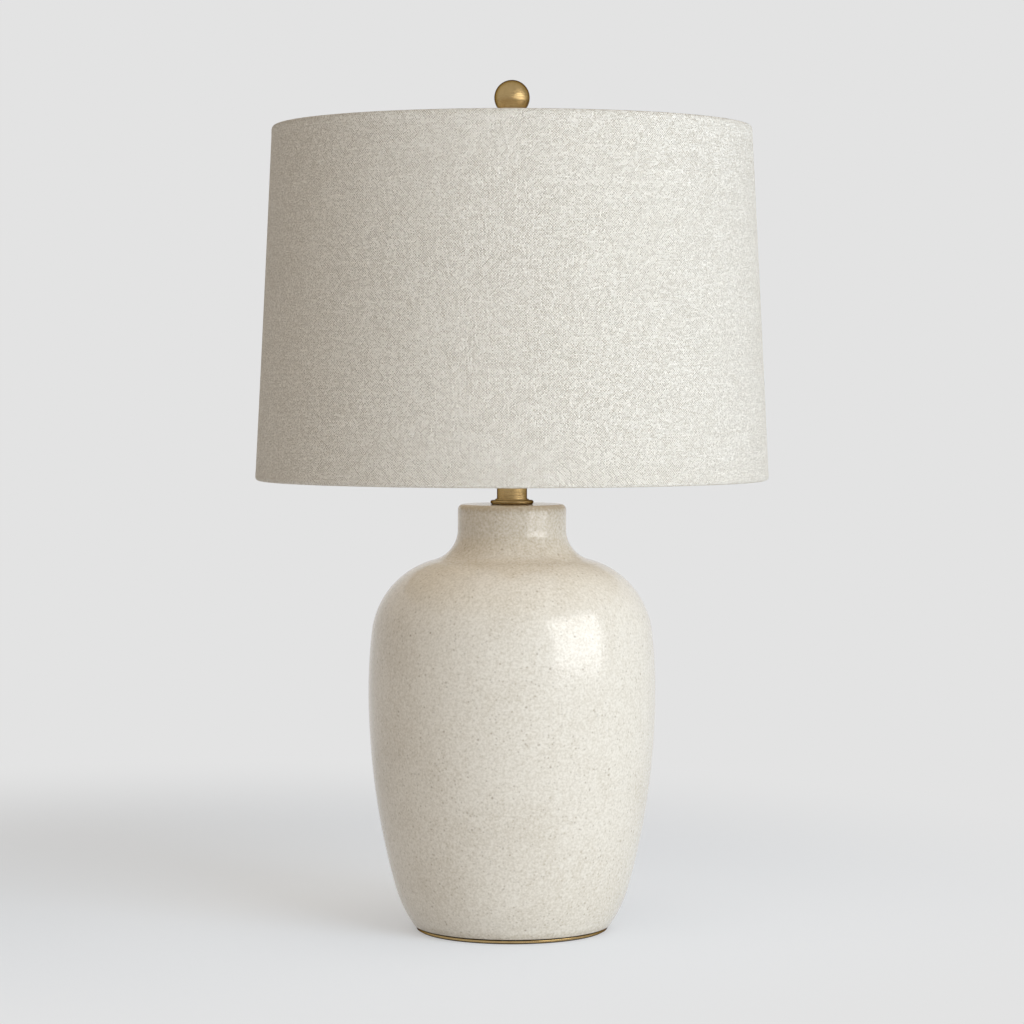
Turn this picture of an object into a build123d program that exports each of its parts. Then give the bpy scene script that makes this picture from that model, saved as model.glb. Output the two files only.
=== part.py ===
from build123d import *
import math
import os

# Table lamp: a glazed ceramic jar on a thin brass plate, a brass neck, a lamp socket with a bulb, a wire
# harp and a linen drum shade that a brass ball finial holds down.
# Frame: the origin is the middle of the underside, +Z is up, the front faces -Y. Sizes are in millimetres.
# Every piece that is stacked on another takes its height from the piece below it.

# ---------------------------------------------------------------- sizes: what the jar stands on
felt_thickness = 1.0
felt_inset = 2.0              # felt edge, in from the plate edge
plate_radius = 76.2
plate_thickness = 2.0
plate_edge_round = 0.6
plate_hole_radius = 15.0      # reaches the nut inside the jar's foot
gasket_thickness = 0.8
gasket_inset = 1.5            # gasket edge, in from the plate edge
gasket_width = 6.0

# ---------------------------------------------------------------- sizes: jar
jar_height = 334.9
foot_radius = 78.1
foot_lean = 35.2              # degrees that the wall leans out where it leaves the foot
foot_round = 2.5
heel_arc = 104.0              # radius of the outline's arc above the foot
widest_radius = 114.2
widest_height = 186.7
shoulder_arc = 66.5           # radius of the outline's arc over the shoulder
shoulder_lean = 75.4          # degrees that the wall leans in where the shoulder meets the neck's curve
neck_radius = 43.1
neck_arc = 25.5               # radius of the hollow curve up into the neck
neck_straight = 19.6          # upright part of the neck, from its hollow curve to the lip
lip_round = 4.5
jar_wall = 6.5
jar_top_thickness = 8.0
jar_top_hole_radius = 5.6
jar_floor_height = 30.0       # underside of the inner floor, above the foot
jar_floor_thickness = 7.0
jar_floor_hole_radius = 16.0

# ---------------------------------------------------------------- sizes: cord inlet in the jar's heel
inlet_height = 14.0           # centre of the inlet, above the foot
inlet_hole_radius = 5.5
inlet_bore_radius = 3.6       # takes a 7 mm round cord
inlet_flange_radius = 8.2
inlet_flange_thickness = 2.2
inlet_lip_radius = 6.9
inlet_lip_length = 3.0        # how far the grommet stands into the foot
inlet_lip_grip = 1.0          # how far lip and flange reach back to the glaze before they are cut to it

# ---------------------------------------------------------------- sizes: threaded pipe and its fasteners
pipe_radius = 4.85
pipe_bore_radius = 3.3
pipe_below_nut = 4.0
pipe_into_cap = 8.0
nut_across_flats = 15.9
nut_thickness = 4.0
nut_corner_round = 0.5
foot_washer_radius = 25.0
foot_washer_thickness = 2.0
lock_washer_radius = 8.6
lock_washer_thickness = 1.6
thread_gap = 0.08             # between a threaded hole and the pipe or stud in it, both drawn smooth
slip_gap = 0.08               # between pieces that slide together by hand

# ---------------------------------------------------------------- sizes: brass neck
ring_radius = 17.1
ring_height = 4.2
ring_recess = 0.8             # depth that the neck tube stands in the ring
neck_tube_radius = 11.95
neck_tube_wall = 0.8
neck_tube_length = 27.4
neck_cap_radius = 13.0
neck_cap_thickness = 1.5
neck_cap_spigot = 2.5

# ---------------------------------------------------------------- sizes: harp and its saddle
saddle_half_span = 27.0       # from the middle to the middle of each upright
saddle_thickness = 1.5
saddle_width = 13.0
saddle_bend = 9.0             # inner bend radius
saddle_shoulder_height = 20.0
saddle_tongue_width = 4.6
saddle_tongue_length = 9.0
harp_height = 254.0           # from under the saddle to the seat, a ten inch harp
harp_wire_radius = 2.3
harp_leg_flat = 0.5           # distance from the leg's middle to its flat
harp_tongue_gap = 0.2
harp_leg_gap = 0.5            # leg end above the saddle's shoulder
harp_knee_height = 65.5       # corners of the harp's outline, above the saddle's underside
harp_wide_height = 103.5
harp_wide_half = 57.0
harp_top_half = 48.0
harp_knee_bend = 30.0
harp_wide_bend = 60.0
harp_top_bend = 44.0
harp_pad_length = 16.0
harp_pad_width = 8.4
harp_pad_thickness = 3.0
stud_radius = 3.1             # quarter inch, 27 threads to the inch
stud_shank_radius = 2.0
stud_collar_radius = 5.5
stud_collar_thickness = 1.5
stud_length = 11.0            # above the harp's seat
stud_rivet_radius = 3.4
stud_rivet_height = 1.2
ferrule_length = 16.0
ferrule_radius = 4.6
ferrule_mouth_radius = 3.55
ferrule_mouth_depth = 10.5

# ---------------------------------------------------------------- sizes: socket
cap_hub_radius = 7.6
cap_hub_height = 5.0
cap_inner_hub_height = 9.0
cap_rim_radius = 16.8
cap_rim_start = 11.5
cap_height = 17.5
cap_wall = 0.8
set_screw_radius = 1.4
set_screw_proud = 1.2
shell_wall = 0.6
shell_start = 12.5            # lower edge of the shell, above the cap's underside
shell_height = 48.0
shell_bead = 0.5              # how far the rolled lip stands out
sleeve_thickness = 0.8
sleeve_inset = 2.0            # sleeve edge below the shell's lip
insulator_height = 20.0
screw_shell_height = 26.0
screw_shell_wall = 0.45
screw_shell_floor_hole = 5.2
bulb_thread_radius = 13.1     # over the crests of a medium screw base
thread_depth = 0.75
thread_pitch = 3.63
thread_play = 0.25            # between the bulb's thread and the socket's
contact_width = 5.0
contact_sheet = 0.5
contact_reach = 4.0
contact_rise = 3.1
terminal_head_radius = 3.0
terminal_head_thickness = 1.5
terminal_shank_radius = 1.5
terminal_shank_length = 5.0
terminal_height = 6.0         # above the insulator's lower face
terminal_flat = 11.4          # from the socket's axis to the flat under each screw head

# ---------------------------------------------------------------- sizes: turn switch on the socket
switch_height = 11.0          # axis of the switch, above the insulator's lower face
switch_stem_radius = 2.0
switch_hole_radius = 2.6
switch_rotor_radius = 4.6
switch_rotor_length = 9.0
switch_cavity_gap = 0.4
knob_radius = 5.6
knob_length = 13.0
knob_start = 19.5             # knob's inner end, from the socket's axis
knob_bore_depth = 10.0
knob_groove_radius = 0.7
knob_groove_count = 14
knob_end_round = 1.0

# ---------------------------------------------------------------- sizes: bulb
bulb_gap = 0.3                # between the tip and the socket's contact
bulb_tip_radius = 4.6
bulb_tip_height = 1.6
bulb_insulator_radius = 11.6
bulb_insulator_height = 3.0
bulb_thread_turns = 5
bulb_collar_height = 4.0
bulb_radius = 30.0
bulb_neck_gap = 0.1           # cement between the glass and the collar round it
bulb_neck_straight = 4.0
bulb_neck_arc = 40.0          # hollow curve from the neck to the ball
bulb_glass = 0.8

# ---------------------------------------------------------------- sizes: shade
shade_height = 278.4
shade_bottom_radius = 203.2
shade_top_radius = 189.0
fabric_thickness = 0.6
liner_thickness = 0.5
ring_wire_radius = 1.5
ring_wire_gap = 0.12          # between the wire and the fabric rolled round it
hem_open_angle = 60.0         # part of the roll left open towards the liner, in degrees
spider_drop = 11.6            # shade's top edge above the harp's seat
spider_hub_radius = 14.0
spider_hub_thickness = 1.6
spider_hub_hole_radius = 3.6
spider_arm_radius = 1.5
spider_arm_count = 3
spider_arm_start = 8.5
spider_arm_bend = 4.5
spider_notch_gap = 0.3        # between an arm and the hem that is cut out for it

# ---------------------------------------------------------------- sizes: finial
finial_ball_radius = 14.0
finial_base_height = 20.3
finial_base_radius = 7.0
finial_base_rim = 2.0
finial_waist_radius = 4.7
finial_cup_radius = 6.0
finial_cup_height = 3.0
finial_spigot_radius = 3.4
finial_spigot_length = 8.0
finial_bore_depth = 14.0

# ---------------------------------------------------------------- heights, from the floor up
plate_z = felt_thickness
gasket_z = plate_z + plate_thickness
jar_z = gasket_z + gasket_thickness
jar_floor_z = jar_z + jar_floor_height
jar_top_z = jar_z + jar_height
neck_start_height = jar_height - neck_straight
neck_tube_z = jar_top_z + ring_height - ring_recess
neck_cap_z = neck_tube_z + neck_tube_length
saddle_z = neck_cap_z + neck_cap_thickness
saddle_nut_z = saddle_z + saddle_thickness
cap_z = saddle_nut_z + nut_thickness
harp_seat_z = saddle_z + harp_height
hub_top_z = harp_seat_z + spider_hub_thickness
shade_top_z = harp_seat_z + spider_drop
shade_bottom_z = shade_top_z - shade_height

foot_nut_z = jar_floor_z - foot_washer_thickness - lock_washer_thickness - nut_thickness
pipe_start_z = foot_nut_z - pipe_below_nut
pipe_end_z = cap_z + pipe_into_cap

insulator_z = cap_z + shell_start
insulator_top_z = insulator_z + insulator_height
switch_z = insulator_z + switch_height
bulb_tip_z = insulator_top_z + contact_rise + bulb_gap
threaded_hole_radius = pipe_radius + thread_gap

# The thread's crests repeat from the insulator's top, so that bulb and socket stay in step.
bulb_clear_z = bulb_tip_z + bulb_tip_height + bulb_insulator_height
bulb_thread_z = insulator_top_z + thread_pitch * math.ceil((bulb_clear_z - insulator_top_z) / thread_pitch)
bulb_collar_z = bulb_thread_z + bulb_thread_turns * thread_pitch
bulb_glass_z = bulb_collar_z + bulb_collar_height
bulb_collar_radius = bulb_thread_radius - thread_depth / 2
bulb_neck_radius = bulb_collar_radius - screw_shell_wall - bulb_neck_gap

# Leg of the harp: its flat lies against the outside of the saddle's tongue.
harp_leg_y = saddle_half_span + saddle_thickness / 2 + harp_tongue_gap + harp_leg_flat
ferrule_z = saddle_z + saddle_shoulder_height
harp_wire_top_z = harp_seat_z - stud_collar_thickness - harp_pad_thickness / 2

# Shade wall: the slant from the bottom edge to the top edge, and the middle of each ring's wire.
shade_lean = math.atan2(shade_bottom_radius - shade_top_radius, shade_height)
shade_slant = math.hypot(shade_bottom_radius - shade_top_radius, shade_height)
hem_radius = ring_wire_radius + fabric_thickness + liner_thickness


# ---------------------------------------------------------------- helpers
def rod(radius, z, height):
    """An upright cylinder that starts at z."""
    return Pos(0, 0, z + height / 2) * Cylinder(radius, height)


def disc_ring(outer_radius, inner_radius, z, height):
    """A flat ring round the lamp's axis that starts at z."""
    return rod(outer_radius, z, height) - rod(inner_radius, z, height)


def turned(points, z=0.0):
    """A piece turned about the lamp's axis from a closed outline of (radius, height) points above z."""
    outline = make_face(Polyline(*points, close=True))
    return Pos(0, 0, z) * revolve(Plane.XZ * outline, Axis.Z)


def hex_nut(z, bore_radius):
    """A hexagonal nut that starts at z, with its corners rounded off at both faces."""
    prism = Pos(0, 0, z) * extrude(RegularPolygon(nut_across_flats / 2, 6, major_radius=False), nut_thickness)
    corner = nut_across_flats / math.sqrt(3)
    rounding = turned(
        [
            (0, 0),
            (corner - nut_corner_round, 0),
            (corner, nut_corner_round),
            (corner, nut_thickness - nut_corner_round),
            (corner - nut_corner_round, nut_thickness),
            (0, nut_thickness),
        ],
        z,
    )
    return (prism & rounding) - rod(bore_radius, z, nut_thickness)


def rolled_edges(piece, z, radius):
    """The piece with its outer circular edges at height z rounded off."""
    edges = piece.edges().filter_by(GeomType.CIRCLE).filter_by_position(Axis.Z, z - 1e-4, z + 1e-4)
    return fillet(edges.sort_by(SortBy.RADIUS)[-1:], radius)


# ---------------------------------------------------------------- what the jar stands on
def felt_pad():
    """The felt disc glued under the plate."""
    return rod(plate_radius - felt_inset, 0, felt_thickness)


def base_plate():
    """The thin brass plate that shows under the jar, with a hole for a nut driver."""
    plate = disc_ring(plate_radius, plate_hole_radius, plate_z, plate_thickness)
    plate = rolled_edges(plate, plate_z, plate_edge_round)
    return rolled_edges(plate, plate_z + plate_thickness, plate_edge_round)


def base_gasket():
    """The rubber ring glued between plate and foot; it shows as a dark line."""
    outer = plate_radius - gasket_inset
    return disc_ring(outer, outer - gasket_width, gasket_z, gasket_thickness)


# ---------------------------------------------------------------- jar
def outward(lean):
    """The outline's outward normal where the wall leans out by lean degrees (in, if negative)."""
    return Vector(math.cos(math.radians(lean)), -math.sin(math.radians(lean)))


def arc_joint(end, normal, radius, middle):
    """Where an arc of the radius that ends at end meets the larger arc that ends upright at middle."""
    centre = end - normal * radius
    across = middle - centre
    larger = (across.dot(across) - radius**2) / (2 * (across.X - radius))
    larger_centre = middle - Vector(larger, 0)
    joint_normal = (centre - larger_centre).normalized()
    return centre + joint_normal * radius, joint_normal


def jar_knots():
    """The points where the arcs of the jar's outline meet, from foot to neck, each with its outward normal."""
    foot = Vector(foot_radius, 0)
    widest = Vector(widest_radius, widest_height)
    turn = outward(-shoulder_lean)
    neck_turn = Vector(
        neck_radius + neck_arc * (1 - turn.X),
        neck_start_height - neck_arc * turn.Y,
    )
    return [
        (foot, outward(foot_lean)),
        arc_joint(foot, outward(foot_lean), heel_arc, widest),
        (widest, outward(0)),
        arc_joint(neck_turn, turn, shoulder_arc, widest),
        (neck_turn, turn),
        (Vector(neck_radius, neck_start_height), outward(0)),
    ]


def jar_outline(inset=0.0):
    """The arcs of the jar's outline, moved in by inset."""
    knots = [(point - normal * inset, normal) for point, normal in jar_knots()]
    return [
        TangentArc(here, there, tangent=(-normal.Y, normal.X))
        for (here, normal), (there, _) in zip(knots, knots[1:])
    ]


def jar_outside():
    """The jar as if it were solid, standing at height 0."""
    arcs = jar_outline()
    lip_start = (neck_radius, jar_height - lip_round)
    lip_end = (neck_radius - lip_round, jar_height)
    outline = make_face(
        [
            Line((0, 0), (foot_radius, 0)),
            *arcs,
            Line((neck_radius, neck_start_height), lip_start),
            RadiusArc(lip_start, lip_end, -lip_round),
            Line(lip_end, (0, jar_height)),
            Line((0, jar_height), (0, 0)),
        ]
    )
    foot_edge = outline.vertices().sort_by(Axis.Y)[:2].sort_by(Axis.X)[-1]
    return revolve(Plane.XZ * fillet(foot_edge, foot_round), Axis.Z)


def jar_inside(low, high):
    """What the jar's wall leaves open between two heights above the foot."""
    arcs = jar_outline(jar_wall)
    below = -jar_wall
    start = arcs[0] @ 0
    end = arcs[-1] @ 1
    outline = make_face(
        [
            Line((0, below), (start.X, below)),
            Line((start.X, below), start),
            *arcs,
            Line(end, (end.X, jar_height)),
            Line((end.X, jar_height), (0, jar_height)),
            Line((0, jar_height), (0, below)),
        ]
    )
    whole = revolve(Plane.XZ * outline, Axis.Z)
    return whole & rod(2 * widest_radius, low, high - low)


def inlet_plane():
    """The plane on the jar's heel, at the back, where the cord inlet's axis leaves the glaze."""
    foot, normal = jar_knots()[0]
    centre = foot - normal * heel_arc
    rise = (inlet_height - centre.Y) / heel_arc
    across = math.sqrt(1 - rise**2)
    return Plane(
        origin=(0, centre.X + across * heel_arc, jar_z + inlet_height),
        x_dir=(1, 0, 0),
        z_dir=(0, across, rise),
    )


def jar_body():
    """The hollow glazed jar: an inner floor, a recess in the foot and holes for pipe and cord."""
    floor_top = jar_floor_height + jar_floor_thickness
    jar = jar_outside() - jar_inside(floor_top, jar_height - jar_top_thickness)
    jar -= jar_inside(-jar_wall, jar_floor_height)
    jar -= rod(jar_floor_hole_radius, jar_floor_height, jar_floor_thickness)
    jar -= rod(jar_top_hole_radius, jar_height - jar_top_thickness, jar_top_thickness)
    jar = Pos(0, 0, jar_z) * jar
    return jar - inlet_plane() * Cylinder(inlet_hole_radius, 6 * jar_wall)


def cord_grommet(jar):
    """The rubber bush in the cord inlet, cut to the glaze that it lies against."""
    inner_end = -jar_wall - inlet_lip_length
    barrel = Pos(0, 0, (inlet_flange_thickness + inner_end) / 2) * Cylinder(
        inlet_hole_radius - slip_gap, inlet_flange_thickness - inner_end
    )
    flange_depth = inlet_flange_thickness + inlet_lip_grip
    flange = Pos(0, 0, inlet_flange_thickness - flange_depth / 2) * Cylinder(inlet_flange_radius, flange_depth)
    lip_depth = inlet_lip_length + inlet_lip_grip
    lip = Pos(0, 0, inner_end + lip_depth / 2) * Cylinder(inlet_lip_radius, lip_depth)
    bore = Cylinder(inlet_bore_radius, 6 * jar_wall)
    bush = inlet_plane() * ((barrel + flange + lip) - bore)
    return bush - jar


# ---------------------------------------------------------------- threaded pipe and what it clamps
def foot_washer():
    """The wide steel washer that covers the hole in the jar's floor."""
    return disc_ring(
        foot_washer_radius, threaded_hole_radius, jar_floor_z - foot_washer_thickness, foot_washer_thickness
    )


def foot_lock_washer():
    """The lock washer between nut and wide washer."""
    return disc_ring(
        lock_washer_radius, threaded_hole_radius, foot_nut_z + nut_thickness, lock_washer_thickness
    )


def foot_nut():
    """The nut that pulls the whole stack together from below."""
    return hex_nut(foot_nut_z, threaded_hole_radius)


def threaded_pipe():
    """The hollow rod from the foot to the socket, drawn without its thread."""
    return disc_ring(pipe_radius, pipe_bore_radius, pipe_start_z, pipe_end_z - pipe_start_z)


def check_ring():
    """The brass ring with a half-round edge that seats the neck tube on the jar."""
    edge = ring_height / 2
    flat = ring_radius - edge
    outline = make_face(
        [
            Line((threaded_hole_radius, 0), (flat, 0)),
            RadiusArc((flat, 0), (flat, ring_height), -edge),
            Line((flat, ring_height), (threaded_hole_radius, ring_height)),
            Line((threaded_hole_radius, ring_height), (threaded_hole_radius, 0)),
        ]
    )
    ring = Pos(0, 0, jar_top_z) * revolve(Plane.XZ * outline, Axis.Z)
    return ring - rod(neck_tube_radius + slip_gap, neck_tube_z, ring_recess)


def neck_tube():
    """The brass tube that shows between jar and shade."""
    return disc_ring(neck_tube_radius, neck_tube_radius - neck_tube_wall, neck_tube_z, neck_tube_length)


def neck_cap():
    """The turned disc that closes the tube, with a spigot that centres it."""
    spigot_radius = neck_tube_radius - neck_tube_wall - slip_gap
    cap = rod(neck_cap_radius, neck_cap_z, neck_cap_thickness)
    cap += rod(spigot_radius, neck_cap_z - neck_cap_spigot, neck_cap_spigot)
    return cap - rod(threaded_hole_radius, neck_cap_z - neck_cap_spigot, neck_cap_spigot + neck_cap_thickness)


# ---------------------------------------------------------------- harp
def harp_saddle():
    """The bent steel strip with a narrow tongue at each end that holds the harp."""
    outer = saddle_half_span + saddle_thickness / 2
    inner = saddle_half_span - saddle_thickness / 2
    top = saddle_shoulder_height + saddle_tongue_length
    profile = make_face(
        FilletPolyline(
            (-outer, top),
            (-outer, 0),
            (outer, 0),
            (outer, top),
            (inner, top),
            (inner, saddle_thickness),
            (-inner, saddle_thickness),
            (-inner, top),
            radius=[
                0,
                saddle_bend + saddle_thickness,
                saddle_bend + saddle_thickness,
                0,
                0,
                saddle_bend,
                saddle_bend,
                0,
            ],
            close=True,
        )
    )
    strip = extrude(Plane.YZ * profile, saddle_width / 2, both=True)
    shoulder = Pos(0, 0, saddle_shoulder_height / 2) * Box(saddle_width, 3 * outer, saddle_shoulder_height)
    tongue = Pos(0, 0, top / 2) * Box(saddle_tongue_width, 3 * outer, top)
    saddle = Pos(0, 0, saddle_z) * (strip & (shoulder + tongue))
    return saddle - rod(threaded_hole_radius, saddle_z, saddle_thickness)


def saddle_nut():
    """The nut that clamps the saddle to the neck."""
    return hex_nut(saddle_nut_z, threaded_hole_radius)


def harp_wire():
    """The bent wire loop: flats where the legs meet the saddle, and a flattened pad for the stud."""
    leg_z = ferrule_z + harp_leg_gap
    knee_z = saddle_z + harp_knee_height
    wide_z = saddle_z + harp_wide_height
    right = [(harp_leg_y, leg_z), (harp_leg_y, knee_z), (harp_wide_half, wide_z), (harp_top_half, harp_wire_top_z)]
    left = [(-across, up) for across, up in reversed(right)]
    bends = [harp_knee_bend, harp_wide_bend, harp_top_bend]
    path = Plane.YZ * FilletPolyline(*right, *left, radius=[*bends, *reversed(bends)])
    section = Plane(origin=path @ 0, z_dir=path % 0) * Circle(harp_wire_radius)
    wire = sweep(section, path)

    pad_place = Pos(0, 0, harp_wire_top_z)
    clear = 3 * harp_wire_radius
    pad = pad_place * extrude(
        Rot(0, 0, 90) * SlotOverall(harp_pad_length, harp_pad_width), harp_pad_thickness / 2, both=True
    )
    wire -= pad_place * Box(clear, harp_pad_length - harp_wire_radius, clear)
    wire += pad
    wire -= rod(stud_shank_radius + slip_gap, harp_wire_top_z - clear / 2, clear)
    flat_height = ferrule_mouth_depth - slip_gap
    for side in (1, -1):
        flat = Pos(0, side * (harp_leg_y - harp_leg_flat - clear / 2), leg_z + flat_height / 2)
        wire -= flat * Box(clear, clear, flat_height)
    return wire


def harp_stud():
    """The threaded stud riveted through the harp's pad; its collar is the seat for the shade."""
    below = harp_seat_z - stud_collar_thickness
    pad_bottom = below - harp_pad_thickness
    stud = rod(stud_radius, harp_seat_z, stud_length)
    stud = rolled_edges(stud, harp_seat_z + stud_length, stud_radius / 4)
    stud += rod(stud_collar_radius, below, stud_collar_thickness)
    stud += rod(stud_shank_radius, pad_bottom, harp_pad_thickness)
    return stud + rod(stud_rivet_radius, pad_bottom - stud_rivet_height, stud_rivet_height)


def harp_ferrule(side):
    """The brass sleeve that locks a leg to the saddle; it slides up the leg to let go."""
    sleeve = rod(ferrule_radius, ferrule_z, ferrule_length)
    sleeve = rolled_edges(sleeve, ferrule_z + ferrule_length, ferrule_radius / 4)
    sleeve -= rod(harp_wire_radius + slip_gap, ferrule_z, ferrule_length)
    sleeve -= rod(ferrule_mouth_radius, ferrule_z, ferrule_mouth_depth)
    return Pos(0, side * harp_leg_y, 0) * sleeve


# ---------------------------------------------------------------- socket
shell_radius = cap_rim_radius - cap_wall - slip_gap
sleeve_radius = shell_radius - shell_wall - slip_gap
insulator_radius = sleeve_radius - sleeve_thickness - slip_gap


def socket_cap():
    """The spun brass cap that screws onto the pipe."""
    cone_rise = cap_rim_start - cap_hub_height
    cone_run = cap_rim_radius - cap_hub_radius
    lift = cap_wall * math.hypot(cone_rise, cone_run) / cone_run
    inner_rim = cap_rim_radius - cap_wall
    inner_rim_start = cap_rim_start + lift - cap_wall * cone_rise / cone_run
    cap = turned(
        [
            (threaded_hole_radius, 0),
            (cap_hub_radius, 0),
            (cap_hub_radius, cap_hub_height),
            (cap_rim_radius, cap_rim_start),
            (cap_rim_radius, cap_height),
            (inner_rim, cap_height),
            (inner_rim, inner_rim_start),
            (cap_hub_radius, cap_hub_height + lift),
            (cap_hub_radius, cap_inner_hub_height),
            (threaded_hole_radius, cap_inner_hub_height),
        ],
        cap_z,
    )
    return cap - set_screw_blank(slip_gap)


def set_screw_blank(gap):
    """A cylinder along +Y from the pipe out through the cap's hub, wider than the screw by gap."""
    start = threaded_hole_radius
    length = cap_hub_radius + set_screw_proud - start
    place = Pos(0, start + length / 2, cap_z + cap_hub_height / 2)
    return place * Rot(90, 0, 0) * Cylinder(set_screw_radius + gap, length)


def cap_set_screw():
    """The small slotted screw that locks the cap to the pipe."""
    screw = set_screw_blank(0)
    slot_depth = set_screw_radius / 2
    slot = Pos(0, cap_hub_radius + set_screw_proud, cap_z + cap_hub_height / 2)
    return screw - slot * Box(slot_depth, 2 * slot_depth, 3 * set_screw_radius)


def socket_shell():
    """The brass shell round the socket, with a rolled lip and a hole for the switch stem."""
    z = cap_z + shell_start
    lip_z = z + shell_height
    inner = shell_radius - shell_wall
    shell = disc_ring(shell_radius, inner, z, shell_height)
    lip = turned(
        [
            (inner, -2 * shell_bead),
            (shell_radius + shell_bead, -2 * shell_bead),
            (shell_radius + shell_bead, 0),
            (inner, 0),
        ],
        lip_z,
    )
    return shell + lip - switch_hole()


def socket_sleeve():
    """The card sleeve that insulates the shell from the socket's works."""
    height = shell_height - sleeve_inset
    sleeve = disc_ring(sleeve_radius, sleeve_radius - sleeve_thickness, cap_z + shell_start, height)
    return sleeve - switch_hole()


def switch_hole():
    """The hole along +X that the switch stem turns in."""
    reach = 2 * cap_rim_radius
    return Pos(reach / 2, 0, switch_z) * Rot(0, 90, 0) * Cylinder(switch_hole_radius, reach)


def socket_insulator():
    """The moulded body that carries the contacts and the switch."""
    body = rod(insulator_radius, insulator_z, insulator_height)
    foot_z = cap_z + cap_inner_hub_height
    body += rod(cap_hub_radius, foot_z, insulator_z - foot_z)
    cavity_radius = switch_rotor_radius + switch_cavity_gap
    cavity_length = switch_rotor_length + 2 * switch_cavity_gap
    body -= Pos(0, 0, switch_z) * Rot(0, 90, 0) * Cylinder(cavity_radius, cavity_length)
    body -= switch_hole()
    for side in (1, -1):
        notch = Pos(0, side * (terminal_flat + insulator_radius / 2), insulator_z + terminal_height)
        body -= notch * Box(3 * terminal_head_radius, insulator_radius, 3 * terminal_head_radius)
        shank = Pos(0, side * (terminal_flat - terminal_shank_length / 2), insulator_z + terminal_height)
        body -= shank * Rot(90, 0, 0) * Cylinder(terminal_shank_radius + slip_gap, terminal_shank_length)
    return body


def terminal_screw(side):
    """A slotted terminal screw, with its head on the insulator's flat."""
    head = Pos(0, side * (terminal_flat + terminal_head_thickness / 2), 0)
    screw = head * Rot(90, 0, 0) * Cylinder(terminal_head_radius, terminal_head_thickness)
    shank = Pos(0, side * (terminal_flat - terminal_shank_length / 2), 0)
    screw += shank * Rot(90, 0, 0) * Cylinder(terminal_shank_radius, terminal_shank_length)
    slot = Pos(0, side * (terminal_flat + terminal_head_thickness), 0)
    screw -= slot * Box(terminal_head_radius / 4, terminal_head_thickness, 3 * terminal_head_radius)
    return Pos(0, 0, insulator_z + terminal_height) * screw


def thread_wave(crest_radius, z, turns, shift=0.0):
    """The knuckle thread's outline as half-round crests and roots, one pair to a pitch, from z up."""
    half = thread_pitch / 2
    arcs = []
    for step in range(2 * turns):
        start = z + step * half
        middle = crest_radius + shift - (0 if step % 2 == 0 else thread_depth)
        edge = crest_radius + shift - thread_depth / 2
        arcs.append(ThreePointArc((edge, start), (middle, start + half / 2), (edge, start + half)))
    return arcs


def threaded_shell(crest_radius, wall, z, turns):
    """A thin screw shell: the same wave outside and inside, closed at its ends."""
    outside = thread_wave(crest_radius, z, turns)
    inside = thread_wave(crest_radius, z, turns, -wall)
    bottom = Line(inside[0] @ 0, outside[0] @ 0)
    top = Line(outside[-1] @ 1, inside[-1] @ 1)
    return revolve(Plane.XZ * make_face([*outside, top, *inside, bottom]), Axis.Z)


def screw_shell():
    """The socket's threaded metal shell, with a floor that lies on the insulator."""
    crest = bulb_thread_radius + thread_play + screw_shell_wall
    turns = math.floor(screw_shell_height / thread_pitch)
    shell = threaded_shell(crest, screw_shell_wall, insulator_top_z, turns)
    floor_radius = crest - thread_depth / 2 - screw_shell_wall / 4
    return shell + disc_ring(floor_radius, screw_shell_floor_hole, insulator_top_z, screw_shell_wall)


def centre_contact():
    """The sprung leaf that touches the bulb's tip."""
    reach = contact_reach
    leaf = make_face(
        Polyline(
            (-reach, 0),
            (reach, 0),
            (reach, contact_sheet),
            (-reach + 2 * contact_sheet, contact_sheet),
            (reach / 2, contact_rise - contact_sheet),
            (reach / 2, contact_rise),
            (-reach, 2 * contact_sheet),
            close=True,
        )
    )
    return Pos(0, 0, insulator_top_z) * extrude(Plane.XZ * leaf, contact_width / 2, both=True)


# ---------------------------------------------------------------- switch
def along_switch(radius, start, length):
    """A cylinder on the switch's axis, from start along +X."""
    return Pos(start + length / 2, 0, switch_z) * Rot(0, 90, 0) * Cylinder(radius, length)


def switch_stem():
    """The brass stem from the rotor out to the knob."""
    start = -switch_rotor_length / 4
    return along_switch(switch_stem_radius, start, knob_start + knob_bore_depth - start)


def switch_rotor():
    """The moulded rotor that makes and breaks the contact."""
    rotor = along_switch(switch_rotor_radius, -switch_rotor_length / 2, switch_rotor_length)
    return rotor - along_switch(switch_stem_radius + slip_gap, -switch_rotor_length / 4, switch_rotor_length)


def switch_knob():
    """The ribbed turn knob."""
    knob = along_switch(knob_radius, knob_start, knob_length)
    rim = knob.edges().filter_by(GeomType.CIRCLE).sort_by(Axis.X)[-1]
    knob = fillet(rim, knob_end_round)
    for number in range(knob_groove_count):
        turn = Pos(0, 0, switch_z) * Rot(360 * number / knob_groove_count, 0, 0)
        groove = Pos(knob_start + knob_length / 2, 0, knob_radius) * Rot(0, 90, 0)
        knob -= turn * groove * Cylinder(knob_groove_radius, 2 * knob_length)
    return knob - along_switch(switch_stem_radius + slip_gap, knob_start, knob_bore_depth + slip_gap)


# ---------------------------------------------------------------- bulb
def bulb_contact():
    """The soldered tip at the bottom of the bulb."""
    tip = rod(bulb_tip_radius, bulb_tip_z, bulb_tip_height)
    return rolled_edges(tip, bulb_tip_z, bulb_tip_height / 2)


def bulb_insulator():
    """The black glass cone between tip and screw base."""
    start = bulb_tip_z + bulb_tip_height
    return turned(
        [
            (0, 0),
            (bulb_tip_radius + 1, 0),
            (bulb_insulator_radius, bulb_insulator_height),
            (bulb_insulator_radius, bulb_thread_z - start),
            (0, bulb_thread_z - start),
        ],
        start,
    )


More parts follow.
